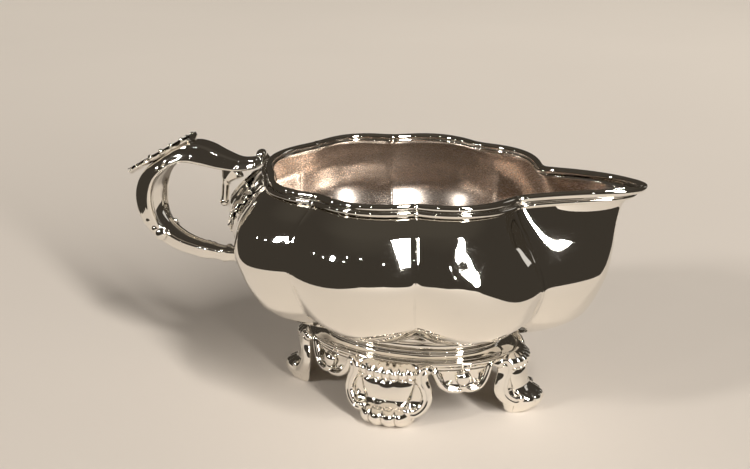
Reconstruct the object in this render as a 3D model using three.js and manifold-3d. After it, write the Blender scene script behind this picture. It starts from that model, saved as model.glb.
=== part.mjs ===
// Silver sauce boat: a lobed bowl with a pulled spout, an applied reeded rim, a cast scroll
// handle with a thumb leaf, and a cast foot with four shell feet joined by scroll aprons.
// Millimetres. +X runs to the spout, +Y to the left, +Z up. The boat stands on z = 0, and the
// origin is under the middle of its length; inside the group x is measured from the foot.
import * as THREE from "three";
import { mergeVertices } from "three/addons/utils/BufferGeometryUtils.js";
import Module from "manifold-3d";

const wasm = await Module();
wasm.setup();

// Overall sizes, measured from the table and from the middle of the foot
const RIM_HEIGHT = 88;
const LIP_RISE = 3;
const LIP_REACH = 84;
const HANDLE_REACH = 117.5;
const SHEET = 1.2;
const JOINT_GAP = 0.3;
const SEAT_GAP = JOINT_GAP + 0.1;

// Rim plan: where the grooves between the lobes meet the rim, on the left side
const SPOUT_CUSP = [42.2, 20];
const FRONT_CUSP = [13.4, 40.4];
const BACK_CUSP = [-21, 40.4];
const HANDLE_CUSP = [-45.6, 22];
const BOWL_CENTRE_X = -2.5;

// Bowl form from the floor (share 0) to the rim (share 1): how far out a groove stands against
// the rim, with the belly lowest beside the spout and highest at the handle
const FORM_SHARES = [0, 0.026, 0.07, 0.17, 0.31, 0.45, 0.59, 0.72, 0.86, 1];
const SPOUT_GROOVE = {
  lengthwise: [0.56, 0.66, 0.8, 1.02, 1.23, 1.29, 1.25, 1.17, 1.07, 1],
  crosswise: [0.58, 0.65, 0.74, 0.93, 1.15, 1.25, 1.25, 1.2, 1.12, 1],
};
const SIDE_GROOVE = {
  lengthwise: [0.56, 0.65, 0.78, 0.97, 1.16, 1.26, 1.32, 1.32, 1.22, 1],
  crosswise: [0.58, 0.64, 0.71, 0.88, 1.13, 1.32, 1.38, 1.34, 1.24, 1],
};
const HANDLE_GROOVE = {
  lengthwise: [0.56, 0.66, 0.79, 0.97, 1.14, 1.24, 1.29, 1.28, 1.18, 1],
  crosswise: [0.58, 0.65, 0.73, 0.91, 1.14, 1.32, 1.37, 1.33, 1.22, 1],
};

// How far the breast under the spout runs, and how far a lobe bulges as a share of its chord
const BREAST_REACH = [38, 45, 52.5, 62, 69.5, 73, 74.2, 74.8, 76.4, LIP_REACH];
const LOBE_BULGE = [0.05, 0.13, 0.2, 0.245, 0.235, 0.21, 0.195, 0.19, 0.18, 0.175];
const GROOVE_SOFTNESS = 0.06;
const RIM_SOFTNESS = 0.3;

// The spout is pinched in below the rim, so that its sides flare out under the moulding
const SPOUT_SOFTNESS = [0.06, 0.06, 0.06, 0.06, 0.06, 0.08, 0.16, 0.42, 0.5, RIM_SOFTNESS];
const SPOUT_PINCH = [0, 0, 0, 0, 0, 0, 0.12, 0.5, 0.95, 0.75];
const FLOOR_THICKENING = 0.9;

// Rim moulding: a rolled bead over the sheet's edge, a groove and a lower reed
const MOULDING_INNER = 1.3;
const MOULDING_OUTER = 2.5;
const MOULDING_DEPTH = 4.9;
const BEAD_DEPTH = 1.7;

// Foot: ridge, neck and the collar under the bowl
const RIDGE_HALF = [40.4, 26.9];
const RIDGE_HEIGHT = 23.2;
const SKIRT_DEPTH = 2.8;
const NECK_HALF = [35, 23.4];
const NECK_HEIGHT = 6.8;
const COLLAR_RADIUS = 1.35;
const BOWL_FLOOR_HEIGHT = RIDGE_HEIGHT + NECK_HEIGHT;

// Shell feet and aprons
const FOOT_ABOVE_RIDGE = 0.2;
const FOOT_SCROLL_RADIUS = 1.5;
const FOOT_KNOB_RADIUS = 2.1;
const FLUTE_DEPTH = 0.55;
const END_FOOT_NARROWING = 0.88;
const APRON_INSET = [1.6, 1.4];
const APRON_LOW = 11.2;
const BOSS_RADIUS = 3.1;
const BOSS_FLATTENING = 0.72;
const BOSS_NECK_RADIUS = 1.9;
const WEB_SETBACK = 0.4;

// Handle
const LEAF_HALF_WIDTH = 8.6;
const LEAF_THICKNESS = 1.5;
const SPUR_LENGTH = 14;
const SPUR_CLEARANCE = 3;
const SPUR_RADIUS = 1.4;
const SPUR_KNOB_RADIUS = 1.9;
const VOLUTE_RADIUS = 1.9;
const VOLUTE_HALF_WIDTH = 3;
const PAD_EDGE = 0.4;
const PAD_CROWN = 1;

const RAISED_SILVER = new THREE.MeshStandardMaterial({
  color: 0xc9c3b6,
  roughness: 0.12,
  metalness: 1,
});
const CAST_SILVER = new THREE.MeshStandardMaterial({
  color: 0xc2bbad,
  roughness: 0.2,
  metalness: 1,
});

const { clamp, lerp, smoothstep } = THREE.MathUtils;

// Smooth curve through stations, with no overshoot between them
function smoothThrough(stations, values, at) {
  const last = stations.length - 1;
  const x = clamp(at, stations[0], stations[last]);
  let i = 0;
  while (i < last - 1 && x > stations[i + 1]) i += 1;
  const slope = (k) => (values[k + 1] - values[k]) / (stations[k + 1] - stations[k]);
  const tangent = (k) => {
    if (k === 0) return slope(0);
    if (k === last) return slope(last - 1);
    const before = slope(k - 1);
    const after = slope(k);
    return before * after <= 0 ? 0 : (2 * before * after) / (before + after);
  };
  const span = stations[i + 1] - stations[i];
  const t = (x - stations[i]) / span;
  const t2 = t * t;
  const t3 = t2 * t;
  return (
    values[i] * (2 * t3 - 3 * t2 + 1) +
    tangent(i) * span * (t3 - 2 * t2 + t) +
    values[i + 1] * (3 * t2 - 2 * t3) +
    tangent(i + 1) * span * (t3 - t2)
  );
}

// Six times the volume that the triangles enclose, positive when they face outwards
function signedVolume(points, index) {
  let volume = 0;
  for (let i = 0; i < index.length; i += 3) {
    const [a, b, c] = [points[index[i]], points[index[i + 1]], points[index[i + 2]]];
    volume +=
      a[0] * (b[1] * c[2] - b[2] * c[1]) +
      a[1] * (b[2] * c[0] - b[0] * c[2]) +
      a[2] * (b[0] * c[1] - b[1] * c[0]);
  }
  return volume;
}

// Closed surface through rings of equal length, each a list of [x, y, z]. The end rings are
// capped with fans, or joined to each other for a ring-shaped piece. Triangles are turned
// over as a whole if they face inwards.
function loft(rings, joined = false) {
  const n = rings[0].length;
  const points = rings.flat();
  const index = [];
  const strips = joined ? rings.length : rings.length - 1;
  for (let r = 0; r < strips; r += 1) {
    const a = r * n;
    const b = ((r + 1) % rings.length) * n;
    for (let k = 0; k < n; k += 1) {
      const m = (k + 1) % n;
      index.push(a + k, a + m, b + m, a + k, b + m, b + k);
    }
  }
  if (!joined) {
    const middle = (ring) => ring.reduce((s, p) => s.map((v, i) => v + p[i] / n), [0, 0, 0]);
    const first = points.length;
    points.push(middle(rings[0]), middle(rings[rings.length - 1]));
    const top = (rings.length - 1) * n;
    for (let k = 0; k < n; k += 1) {
      const m = (k + 1) % n;
      index.push(first, m, k, first + 1, top + k, top + m);
    }
  }
  const geometry = new THREE.BufferGeometry();
  geometry.setAttribute("position", new THREE.Float32BufferAttribute(points.flat(), 3));
  if (signedVolume(points, index) < 0) index.reverse();
  geometry.setIndex(index);
  geometry.computeVertexNormals();
  return geometry;
}

// A round rod along a curve through the given points
function rodGeometry(points, radius, steps, sides) {
  const path = new THREE.CatmullRomCurve3(points.map((p) => new THREE.Vector3(...p)));
  const outline = new THREE.Shape();
  for (let k = 0; k < sides; k += 1) {
    const angle = (2 * Math.PI * k) / sides;
    outline[k === 0 ? "moveTo" : "lineTo"](radius * Math.cos(angle), radius * Math.sin(angle));
  }
  return new THREE.ExtrudeGeometry(outline, { steps, extrudePath: path, bevelEnabled: false });
}

function knobGeometry(radius, x, y, z) {
  return new THREE.SphereGeometry(radius, 8, 5).translate(x, y, z);
}

function solid(geometry) {
  const bare = geometry.clone();
  bare.deleteAttribute("normal");
  bare.deleteAttribute("uv");
  bare.clearGroups();
  const merged = mergeVertices(bare, 1e-3);
  return new wasm.Manifold(
    new wasm.Mesh({
      numProp: 3,
      vertProperties: merged.attributes.position.array,
      triVerts: Uint32Array.from(merged.index.array),
    }),
  );
}

function fromSolid(manifold) {
  const mesh = manifold.getMesh();
  const geometry = new THREE.BufferGeometry();
  geometry.setAttribute("position", new THREE.Float32BufferAttribute(mesh.vertProperties, 3));
  geometry.setIndex(Array.from(mesh.triVerts));
  geometry.computeVertexNormals();
  return geometry;
}

function union(geometries) {
  return fromSolid(geometries.map(solid).reduce((whole, piece) => whole.add(piece)));
}

// Heights on the bowl as shares from its floor to the rim
const BOWL_DEPTH = RIM_HEIGHT - BOWL_FLOOR_HEIGHT;
const heightAt = (share) => BOWL_FLOOR_HEIGHT + BOWL_DEPTH * share;
const shareAt = (z) => (z - BOWL_FLOOR_HEIGHT) / BOWL_DEPTH;

// Grooves in order round the bowl, starting to the right of the spout
const mirrored = ([x, y]) => [x, -y];
const GROOVES = [
  [mirrored(SPOUT_CUSP), SPOUT_GROOVE],
  [SPOUT_CUSP, SPOUT_GROOVE],
  [FRONT_CUSP, SIDE_GROOVE],
  [BACK_CUSP, SIDE_GROOVE],
  [HANDLE_CUSP, HANDLE_GROOVE],
  [mirrored(HANDLE_CUSP), HANDLE_GROOVE],
  [mirrored(BACK_CUSP), SIDE_GROOVE],
  [mirrored(FRONT_CUSP), SIDE_GROOVE],
];

// A lobe has the number of the groove that it starts from
const SPOUT_LOBE = 0;
const HANDLE_LOBE = GROOVES.findIndex(([cusp]) => cusp === HANDLE_CUSP);

function grooveAt(index, share) {
  const [[x, y], form] = GROOVES[index % GROOVES.length];
  const along = smoothThrough(FORM_SHARES, form.lengthwise, share);
  const across = smoothThrough(FORM_SHARES, form.crosswise, share);
  return [BOWL_CENTRE_X + (x - BOWL_CENTRE_X) * along, y * across];
}

// Rise of a lobe across its chord, with the groove at each end rounded by soften
function lobeRise(phi, soften) {
  const rise = 1 - phi * phi;
  return (Math.hypot(rise, soften) - soften) / (Math.hypot(1, soften) - soften);
}

// A point on the bowl's plan at a share of its height; phi runs from -1 to 1 between a
// lobe's grooves. The lobes die out into the neck's oval at the floor.
function planPoint(lobe, phi, share) {
  const [x0, y0] = grooveAt(lobe, share);
  const [x1, y1] = grooveAt(lobe + 1, share);
  const chord = Math.hypot(x1 - x0, y1 - y0);
  const outward = [(y1 - y0) / chord, (x0 - x1) / chord];
  const softness = lerp(GROOVE_SOFTNESS, RIM_SOFTNESS, smoothstep(share, 0.52, 1));
  let bulge = chord * smoothThrough(FORM_SHARES, LOBE_BULGE, share) * lobeRise(phi, softness);
  if (lobe === SPOUT_LOBE) {
    const reach = smoothThrough(FORM_SHARES, BREAST_REACH, share) - x0;
    const rise = lobeRise(phi, smoothThrough(FORM_SHARES, SPOUT_SOFTNESS, share));
    bulge = reach * rise * (1 - smoothThrough(FORM_SHARES, SPOUT_PINCH, share) * phi ** 6);
  }
  const mid = (phi + 1) / 2;
  const x = lerp(x0, x1, mid) + outward[0] * bulge;
  const y = lerp(y0, y1, mid) + outward[1] * bulge;
  const flat = 1 - smoothstep(share, 0, 0.052);
  const toNeck = 1 / Math.hypot(x / NECK_HALF[0], y / NECK_HALF[1]);
  return [lerp(x, x * toNeck, flat), lerp(y, y * toNeck, flat)];
}

// The lip rises from the spout's root to its tip
function lipRise(x) {
  const t = clamp((x - SPOUT_CUSP[0]) / (LIP_REACH - SPOUT_CUSP[0]), 0, 1);
  return LIP_RISE * t * (2 - t);
}

// Stations round the plan as [lobe, phi]
const LOBE_STEPS = [12, 6, 6, 6, 6, 6, 6, 6];
const LOOP_STATIONS = LOBE_STEPS.flatMap((count, lobe) =>
  Array.from({ length: count }, (_, k) => [lobe, (2 * k) / count - 1]),
);

function planLoop(share) {
  return LOOP_STATIONS.map(([lobe, phi]) => planPoint(lobe, phi, share));
}

function planNormals(loop) {
  const n = loop.length;
  return loop.map((_, i) => {
    const [ax, ay] = loop[(i + n - 1) % n];
    const [bx, by] = loop[(i + 1) % n];
    const length = Math.hypot(bx - ax, by - ay);
    return [(by - ay) / length, (ax - bx) / length];
  });
}

// The bowl is one sheet raised into eight lobes: an outer skin, an edge and an inner skin
function bowlGeometry() {
  const sheetTop = shareAt(RIM_HEIGHT - BEAD_DEPTH - JOINT_GAP);
  const levels = [0, 0.018, 0.043, 0.08, 0.14, 0.23, 0.33, 0.46, 0.58, 0.7, 0.82, 0.9, sheetTop];
  const ring = (share, offset, lift) => {
    const loop = planLoop(share);
    const normals = planNormals(loop);
    return loop.map(([x, y], i) => [
      x + normals[i][0] * offset,
      y + normals[i][1] * offset,
      heightAt(share) + lift + lipRise(x) * share,
    ]);
  };
  const floorLift = (share) => FLOOR_THICKENING * (1 - smoothstep(share, 0, 0.1));
  const outer = levels.map((share) => ring(share, 0, 0));
  const inner = levels.slice(2).reverse().map((share) => ring(share, -SHEET, floorLift(share)));
  return loft([...outer, ...inner]);
}

// Rim moulding section as [out from the sheet's face, down the sheet]
const MOULDING_SECTION = [
  [-MOULDING_INNER, BEAD_DEPTH],
  [-MOULDING_INNER, 0.6],
  [-0.7, 0],
  [0.3, 0.1],
  [0.8, 0.55],
  [1.9, 0.7],
  [MOULDING_OUTER, 1.5],
  [2.2, 2.4],
  [1.3, 2.9],
  [1.3, 3.5],
  [1.9, 3.9],
  [1.8, 4.6],
  [1.1, MOULDING_DEPTH],
  [SEAT_GAP, MOULDING_DEPTH],
  [SEAT_GAP, BEAD_DEPTH],
];

// The moulding follows the rim and leans with the wall below it
function rimMouldingGeometry() {
  const top = planLoop(1);
  const low = planLoop(shareAt(RIM_HEIGHT - MOULDING_DEPTH));
  const normals = planNormals(top);
  const leans = top.map(([x, y], i) => {
    const run = (low[i][0] - x) * normals[i][0] + (low[i][1] - y) * normals[i][1];
    return Math.atan2(run, MOULDING_DEPTH);
  });
  const loops = MOULDING_SECTION.map(([out, down]) =>
    LOOP_STATIONS.map(([lobe, phi], i) => {
      const z = RIM_HEIGHT - down * Math.cos(leans[i]);
      const [x, y] = planPoint(lobe, phi, shareAt(z));
      const side = out * Math.cos(leans[i]);
      return [
        x + normals[i][0] * side,
        y + normals[i][1] * side,
        z + out * Math.sin(leans[i]) + lipRise(x),
      ];
    }),
  );
  return loft(loops, true);
}

// A ring-shaped piece on the foot's oval: section points are [outwards from the neck, height]
function ovalRingGeometry(section) {
  const steps = 44;
  const widthShare = (RIDGE_HALF[1] - NECK_HALF[1]) / (RIDGE_HALF[0] - NECK_HALF[0]);
  const rings = section.map(([out, z]) =>
    Array.from({ length: steps }, (_, k) => {
      const angle = (2 * Math.PI * k) / steps;
      return [
        (NECK_HALF[0] + out) * Math.cos(angle),
        (NECK_HALF[1] + out * widthShare) * Math.sin(angle),
        z,
      ];
    }),
  );
  return loft(rings, true);
}

const COLLAR_TOP = BOWL_FLOOR_HEIGHT - JOINT_GAP;
const RING_TOP = COLLAR_TOP - 2 * COLLAR_RADIUS - JOINT_GAP;
const SKIRT_LOW = RIDGE_HEIGHT - SKIRT_DEPTH;

function collarGeometry() {
  const sides = 7;
  const section = Array.from({ length: sides }, (_, k) => {
    const angle = (2 * Math.PI * k) / sides + Math.PI / 2;
    return [COLLAR_RADIUS * (Math.cos(angle) - 0.5), COLLAR_TOP + COLLAR_RADIUS * (Math.sin(angle) - 1)];
  });
  return ovalRingGeometry(section);
}

// The ring sweeps out from a small roll through a hollow to the ridge, then drops to a skirt
function footRingGeometry() {
  const reach = RIDGE_HALF[0] - NECK_HALF[0];
  const rise = (share) => lerp(RIDGE_HEIGHT, RING_TOP, share);
  return ovalRingGeometry([
    [-2.4, RING_TOP],
    [0, RING_TOP],
    [0.3, rise(0.8)],
    [-0.5, rise(0.6)],
    [-0.1, rise(0.36)],
    [1.5, rise(0.16)],
    [reach - 1, RIDGE_HEIGHT],
    [reach, RIDGE_HEIGHT - 0.25 * SKIRT_DEPTH],
    [reach - 0.4, RIDGE_HEIGHT - 0.54 * SKIRT_DEPTH],
    [reach - 1.3, SKIRT_LOW],
    [reach - 3, SKIRT_LOW],
    [0.2, RIDGE_HEIGHT - 0.43 * SKIRT_DEPTH],
    [-2, rise(0.43)],
  ]);
}

// Shell foot from the sole (share 0) to its top (share 1): how far it stands out in front and
// behind, the half width of its shell, and the half width of the web that carries the shell
// between the side scrolls
const FOOT_TOP = RIDGE_HEIGHT + FOOT_ABOVE_RIDGE;
const FOOT_PROFILE = [
  [0, 6.2, 1.6, 8.6, 9],
  [0.07, 9, 0.7, 9.8, 10.2],
  [0.18, 10.9, 0.5, 10, 11],
  [0.25, 10.6, 0.6, 9.6, 12.4],
  [0.3, 9, 0.8, 8.8, 13],
  [0.35, 6.4, 1, 8.4, 13.8],
  [0.42, 5, 1.1, 8.6, 14.4],
  [0.52, 5.1, 1.2, 9.2, 14.5],
  [0.65, 4.5, 1.3, 9.9, 13.6],
  [0.75, 3.4, 1.2, 10.4, 12.8],
  [0.79, 4.9, 1, 11, 12.6],
  [0.86, 5.3, 0.8, 11.2, 12.6],
  [0.93, 4.2, 0.6, 10.6, 12.4],
  [1, 1.6, 0.5, 8, 10],
];

// Feet are made in a frame of their own: x is along the oval, y outwards from the ridge. The
// toe has four lobes and the knee six flutes.
function shellBodyGeometry() {
  const front = 12;
  const rings = FOOT_PROFILE.map(([height, reach, hollow, half, webHalf]) => {
    const knee = smoothstep(height, 0.7, 0.8) * (1 - smoothstep(height, 0.88, 1));
    const toe = 1 - smoothstep(height, 0.25, 0.38);
    const z = height * FOOT_TOP;
    const web = lerp(hollow, reach, WEB_SETBACK);
    const ring = [[-webHalf, web, z]];
    for (let k = 0; k <= front; k += 1) {
      const u = (2 * k) / front - 1;
      const dome = Math.sqrt(Math.max(0, 1 - Math.abs(u) ** 2.6));
      const flute = FLUTE_DEPTH * (knee * Math.cos(6 * Math.PI * u) - toe * Math.cos(4 * Math.PI * u));
      ring.push([u * half, web + (reach - web + flute) * dome, z]);
    }
    ring.push([webHalf, web, z]);
    ring.push(...[0.6, 0.2, -0.2, -0.6].map((share) => [share * webHalf, hollow - 0.2, z]));
    return ring;
  });
  return loft(rings);
}

// Side scroll of a foot as [along, outwards, share of the foot's height]
const SIDE_SCROLL = [
  [8.4, 5.4, 0.27],
  [11.2, 4.9, 0.25],
  [13.8, 4, 0.34],
  [14.9, 3.2, 0.48],
  [14.2, 2.7, 0.63],
  [12.9, 2.5, 0.76],
  [12.9, 2.3, 0.87],
  [14, 2.1, 0.925],
  [15.2, 1.9, 0.86],
];
const FOOT_HALF_SPAN = SIDE_SCROLL.at(-1)[0] + FOOT_SCROLL_RADIUS;

// A foot wraps round the oval: acrossHalf is the oval's half size along the foot's width
function shellFootGeometry(outHalf, acrossHalf, narrowing) {
  const pieces = [shellBodyGeometry()];
  for (const side of [-1, 1]) {
    const path = SIDE_SCROLL.map(([x, y, share]) => [side * x, y, share * FOOT_TOP]);
    const [x, y, z] = path[0];
    pieces.push(rodGeometry(path, FOOT_SCROLL_RADIUS, 12, 6));
    pieces.push(knobGeometry(FOOT_KNOB_RADIUS, x, y, z));
  }
  const geometry = union(pieces);
  const position = geometry.attributes.position;
  for (let i = 0; i < position.count; i += 1) {
    const along = position.getX(i) * narrowing;
    const fallBack = outHalf * (1 - Math.sqrt(1 - (along / acrossHalf) ** 2));
    position.setXY(i, along, position.getY(i) - fallBack);
  }
  geometry.computeVertexNormals();
  return geometry;
}

// Apron panels hang under the ring's skirt between the feet, on an oval inside the ridge.
// Each starts behind the end foot's scroll and stops beside the side foot's.
const APRON_HALF = [RIDGE_HALF[0] - APRON_INSET[0], RIDGE_HALF[1] - APRON_INSET[1]];
const TUCKED_BEHIND = 2.5 * JOINT_GAP;
const APRON_FROM = Math.asin((FOOT_HALF_SPAN * END_FOOT_NARROWING - TUCKED_BEHIND) / APRON_HALF[1]);
const APRON_TO = Math.acos((FOOT_HALF_SPAN + SEAT_GAP) / APRON_HALF[0]);

function apronPoint(share, out) {
  const angle = lerp(APRON_FROM, APRON_TO, share);
  return [(APRON_HALF[0] + out) * Math.cos(angle), (APRON_HALF[1] + out) * Math.sin(angle)];
}

// The lower edge is two scrolls that meet in a small cusp and climb to the feet's scrolls
function apronEdgeHeight(share, top) {
  const fromMiddle = Math.abs(2 * share - 1);
  const cusp = 0.13 * Math.exp(-((fromMiddle / 0.12) ** 2));
  return APRON_LOW + (top - APRON_LOW) * (cusp + 0.4 * fromMiddle ** 4);
}

function apronGeometry() {
  const columns = 14;
  const middle = (APRON_FROM + APRON_TO) / 2;
  const top = SKIRT_LOW - JOINT_GAP;
  const rings = Array.from({ length: columns + 1 }, (_, k) => {
    const share = k / columns;
    const low = apronEdgeHeight(share, top);
    const section = [
      [-1.2, top],
      [0.3, top],
      [-0.2, lerp(top, low + 2.6, 0.6)],
      [0.9, low + 2.6],
      [1.9, low + 2.1],
      [2.2, low + 1.1],
      [1.6, low + 0.1],
      [-0.4, low],
      [-1.2, low + 1.2],
    ];
    return section.map(([out, z]) => [...apronPoint(share, out), z]);
  });
  // A round boss over the cusp, on a short neck
  const turn = Math.atan2(Math.sin(middle) * APRON_HALF[0], Math.cos(middle) * APRON_HALF[1]);
  const flattened = (radius, z) => {
    const [x, y] = apronPoint(0.5, 0);
    return new THREE.SphereGeometry(radius, 8, 5)
      .scale(BOSS_FLATTENING, 1, 1)
      .rotateZ(turn)
      .translate(x, y, z);
  };
  const boss = flattened(BOSS_RADIUS, top - BOSS_RADIUS);
  const neck = flattened(BOSS_NECK_RADIUS, lerp(APRON_LOW, top - BOSS_RADIUS, 0.42));
  return union([loft(rings), boss, neck]);
}

// Handle. Its stations run from the bowl (share 0) to the rear (share 1), and from the bowl's
// floor (0) to the rim (1): [share to the rear, share of the height, half thickness, half
// width]. The arm starts at the rim moulding, and the tail ends on a pad low on the bowl.
const ARM_STATIONS = [
  [0, 0.986, 1.5, 4.4],
  [0.073, 0.952, 2, 4.2],
  [0.18, 0.934, 2.3, 4.6],
  [0.3, 0.952, 3.1, 5.6],
  [0.421, 0.984, 3.9, 6.4],
  [0.516, 0.993, 3.8, 6.8],
  [0.611, 0.966, 2.9, 7.2],
  [0.718, 0.897, 2.6, 8],
  [0.808, 0.807, 3.5, 8.4],
  [0.853, 0.683, 4.2, 8.4],
];
const TAIL_STATIONS = [
  [0.82, 0.541, 4, 7.4],
  [0.741, 0.421, 3.3, 6],
  [0.592, 0.338, 2.9, 5],
  [0.41, 0.297, 2.6, 4.2],
  [0.235, 0.283, 2.3, 3.6],
  [0.19, 0.283, 3, 4.2],
  [0.141, 0.283, 2.3, 3.6],
  [0, 0.293, 2.4, 3.6],
];
const LEAF_TIP_HEIGHT = 0.828;
const LEAF_CREST = [0.534, 1.103];

// Half of the handle's section as shares of its half width and half thickness, from the round
// outer face to the hollow between the two beads of the inner face
const HANDLE_SECTION = [
  [0, -1],
  [0.6, -0.86],
  [0.95, -0.35],
  [0.98, 0.3],
  [0.84, 0.95],
  [0.52, 0.7],
  [0, 0.62],
];

// The arm's end face leans, so its lower edge is what comes up to the moulding. The tail
// comes up to the crown of its pad.
const rimMoulding = rimMouldingGeometry();
const handlePad = handlePadGeometry();
const handleSocket = handleSocketGeometry();
const rearOf = (geometry) => {
  geometry.computeBoundingBox();
  return geometry.boundingBox.min.x;
};
const ARM_END_LEAN = 0.5 * ARM_STATIONS[0][2];
const ARM_ROOT_X = rearOf(rimMoulding) - JOINT_GAP - ARM_END_LEAN;
const TAIL_ROOT_X = rearOf(handlePad) - JOINT_GAP;

const handlePoint = (rootX, out, up) => [lerp(rootX, -HANDLE_REACH, out), heightAt(up)];

// Closed body along stations in the x-z plane; the section is its half as [across, inwards]
function stripGeometry(stations, halfSection) {
  const mirroredHalf = halfSection.slice(1, -1).reverse().map(([across, inwards]) => [-across, inwards]);
  const section = [...halfSection, ...mirroredHalf];
  const rings = stations.map(([x, z, thick, wide], i) => {
    const [ax, az] = stations[Math.max(0, i - 1)];
    const [bx, bz] = stations[Math.min(stations.length - 1, i + 1)];
    const length = Math.hypot(bx - ax, bz - az);
    const normal = [(az - bz) / length, (bx - ax) / length];
    return section.map(([across, inwards]) => [
      x + normal[0] * thick * inwards,
      wide * across,
      z + normal[1] * thick * inwards,
    ]);
  });
  return loft(rings);
}

// Stations resampled along a smooth curve through the given ones
function resample(stations, count) {
  const at = stations.map((_, i) => i);
  const last = stations.length - 1;
  const curve = new THREE.CatmullRomCurve3(stations.map(([x, z]) => new THREE.Vector3(x, z, 0)));
  return Array.from({ length: count + 1 }, (_, k) => {
    const t = k / count;
    const point = curve.getPoint(t);
    const column = (c) => smoothThrough(at, stations.map((s) => s[c]), t * last);
    return [point.x, point.y, column(2), column(3)];
  });
}

function handleScrollGeometry() {
  const placed = (rootX) => ([out, up, thick, wide]) => [...handlePoint(rootX, out, up), thick, wide];
  const stations = [
    ...ARM_STATIONS.map(placed(ARM_ROOT_X)),
    ...TAIL_STATIONS.map(placed(TAIL_ROOT_X)),
  ];
  // The arm ends in a volute that is rolled up above the rim
  const [, endHeight, thick] = stations[0];
  const volute = [-VOLUTE_HALF_WIDTH, VOLUTE_HALF_WIDTH].map((y) => [
    ARM_ROOT_X - VOLUTE_RADIUS + JOINT_GAP,
    y,
    endHeight + thick,
  ]);
  return union([
    stripGeometry(resample(stations, 32), HANDLE_SECTION),
    rodGeometry(volute, VOLUTE_RADIUS, 1, 9),
  ]);
}

// Thumb leaf: a straight plate from the rear tip up to the crest, with a lobed edge
function handleLeafGeometry() {
  const steps = 24;
  const [tipX, tipZ] = handlePoint(ARM_ROOT_X, 1, LEAF_TIP_HEIGHT);
  const [crestX, crestZ] = handlePoint(ARM_ROOT_X, ...LEAF_CREST);
  const length = Math.hypot(crestX - tipX, crestZ - tipZ);
  const along = [(crestX - tipX) / length, (crestZ - tipZ) / length];
  const rings = Array.from({ length: steps + 1 }, (_, k) => {
    const t = k / steps;
    const taper = Math.sqrt(Math.sin(Math.PI * lerp(0.03, 0.93, t)));
    const half = LEAF_HALF_WIDTH * taper * (1 + 0.07 * Math.cos(2 * Math.PI * 6 * t));
    const x = lerp(tipX, crestX, t);
    const z = lerp(tipZ, crestZ, t);
    const section = [
      [half, 0],
      [half * 0.72, 0.2],
      [0, 0.45],
      [half * -0.72, 0.2],
      [-half, 0],
      [-half, 0.8],
      [half * -0.5, LEAF_THICKNESS],
      [half * 0.5, LEAF_THICKNESS],
      [half, 0.8],
    ];
    return section.map(([y, down]) => [x + along[1] * down, y, z - along[0] * down]);
  });
  return loft(rings);
}

// Inner spur: a small scroll hanging under the arm clear of the socket, ending in a knob
function handleSpurGeometry() {
  const x = rearOf(handleSocket) - SPUR_CLEARANCE - SPUR_KNOB_RADIUS;
  const out = (ARM_ROOT_X - x) / (ARM_ROOT_X + HANDLE_REACH);
  const armColumn = (c) => smoothThrough(ARM_STATIONS.map((s) => s[0]), ARM_STATIONS.map((s) => s[c]), out);
  const top = heightAt(armColumn(1)) - armColumn(2) - JOINT_GAP - SPUR_RADIUS;
  const path = [
    [-0.22, 0],
    [-0.08, 0.2],
    [0, 0.48],
    [0, 0.78],
    [-0.04, 1],
  ].map(([along, down]) => [x + along * SPUR_LENGTH, 0, top - down * (SPUR_LENGTH - SPUR_RADIUS)]);
  const knob = knobGeometry(SPUR_KNOB_RADIUS, ...path.at(-1));
  return union([rodGeometry(path, SPUR_RADIUS, 8, 6), knob]);
}

// A patch lying on the handle's lobe: rows are [share of height, half width as phi, crown]
function lobePatchGeometry(rows) {
  const columns = 8;
  const rings = rows.map(([share, halfPhi, crown]) => {
    const row = (lift, rise) =>
      Array.from({ length: columns + 1 }, (_, k) => {
        const u = (2 * k) / columns - 1;
        const [x, y] = planPoint(HANDLE_LOBE, u * halfPhi, share);
        return [x - lift - rise * (1 - u * u), y, heightAt(share)];
      });
    return [...row(SEAT_GAP, 0), ...row(SEAT_GAP + PAD_EDGE, crown).reverse()];
  });
  return loft(rings);
}

function handleSocketGeometry() {
  return lobePatchGeometry([
    [0.4, 0.04, 0.3],
    [0.45, 0.13, 0.9],
    [0.52, 0.15, 1.2],
    [0.6, 0.23, 1.5],
    [0.67, 0.24, 1.8],
    [0.75, 0.32, 2.1],
    [0.82, 0.33, 2.3],
    [0.885, 0.36, 1.8],
  ]);
}

function handlePadGeometry() {
  return lobePatchGeometry([
    [0.217, 0.06, 0.3 * PAD_CROWN],
    [0.241, 0.15, 0.8 * PAD_CROWN],
    [0.293, 0.19, PAD_CROWN],
    [0.345, 0.15, 0.8 * PAD_CROWN],
    [0.372, 0.06, 0.3 * PAD_CROWN],
  ]);
}

const boat = new THREE.Group();

function place(name, geometry, material) {
  const mesh = new THREE.Mesh(geometry, material);
  mesh.name = name;
  boat.add(mesh);
  return mesh;
}

place("bowl", bowlGeometry(), RAISED_SILVER);
place("rim_moulding", rimMoulding, RAISED_SILVER);
place("foot_collar", collarGeometry(), CAST_SILVER);
place("foot_ring", footRingGeometry(), CAST_SILVER);

// Feet stand on the ends of the oval's two axes
const [RIDGE_X, RIDGE_Y] = RIDGE_HALF;
const FEET = [
  ["foot_spout", [RIDGE_X, 0], -Math.PI / 2],
  ["foot_left", [0, RIDGE_Y], 0],
  ["foot_handle", [-RIDGE_X, 0], Math.PI / 2],
  ["foot_right", [0, -RIDGE_Y], Math.PI],
];
for (const [name, [x, y], turn] of FEET) {
  const geometry =
    y === 0
      ? shellFootGeometry(RIDGE_X, RIDGE_Y, END_FOOT_NARROWING)
      : shellFootGeometry(RIDGE_Y, RIDGE_X, 1);
  const foot = place(name, geometry, CAST_SILVER);
  foot.position.set(x, y, 0);
  foot.rotation.z = turn;
}

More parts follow.
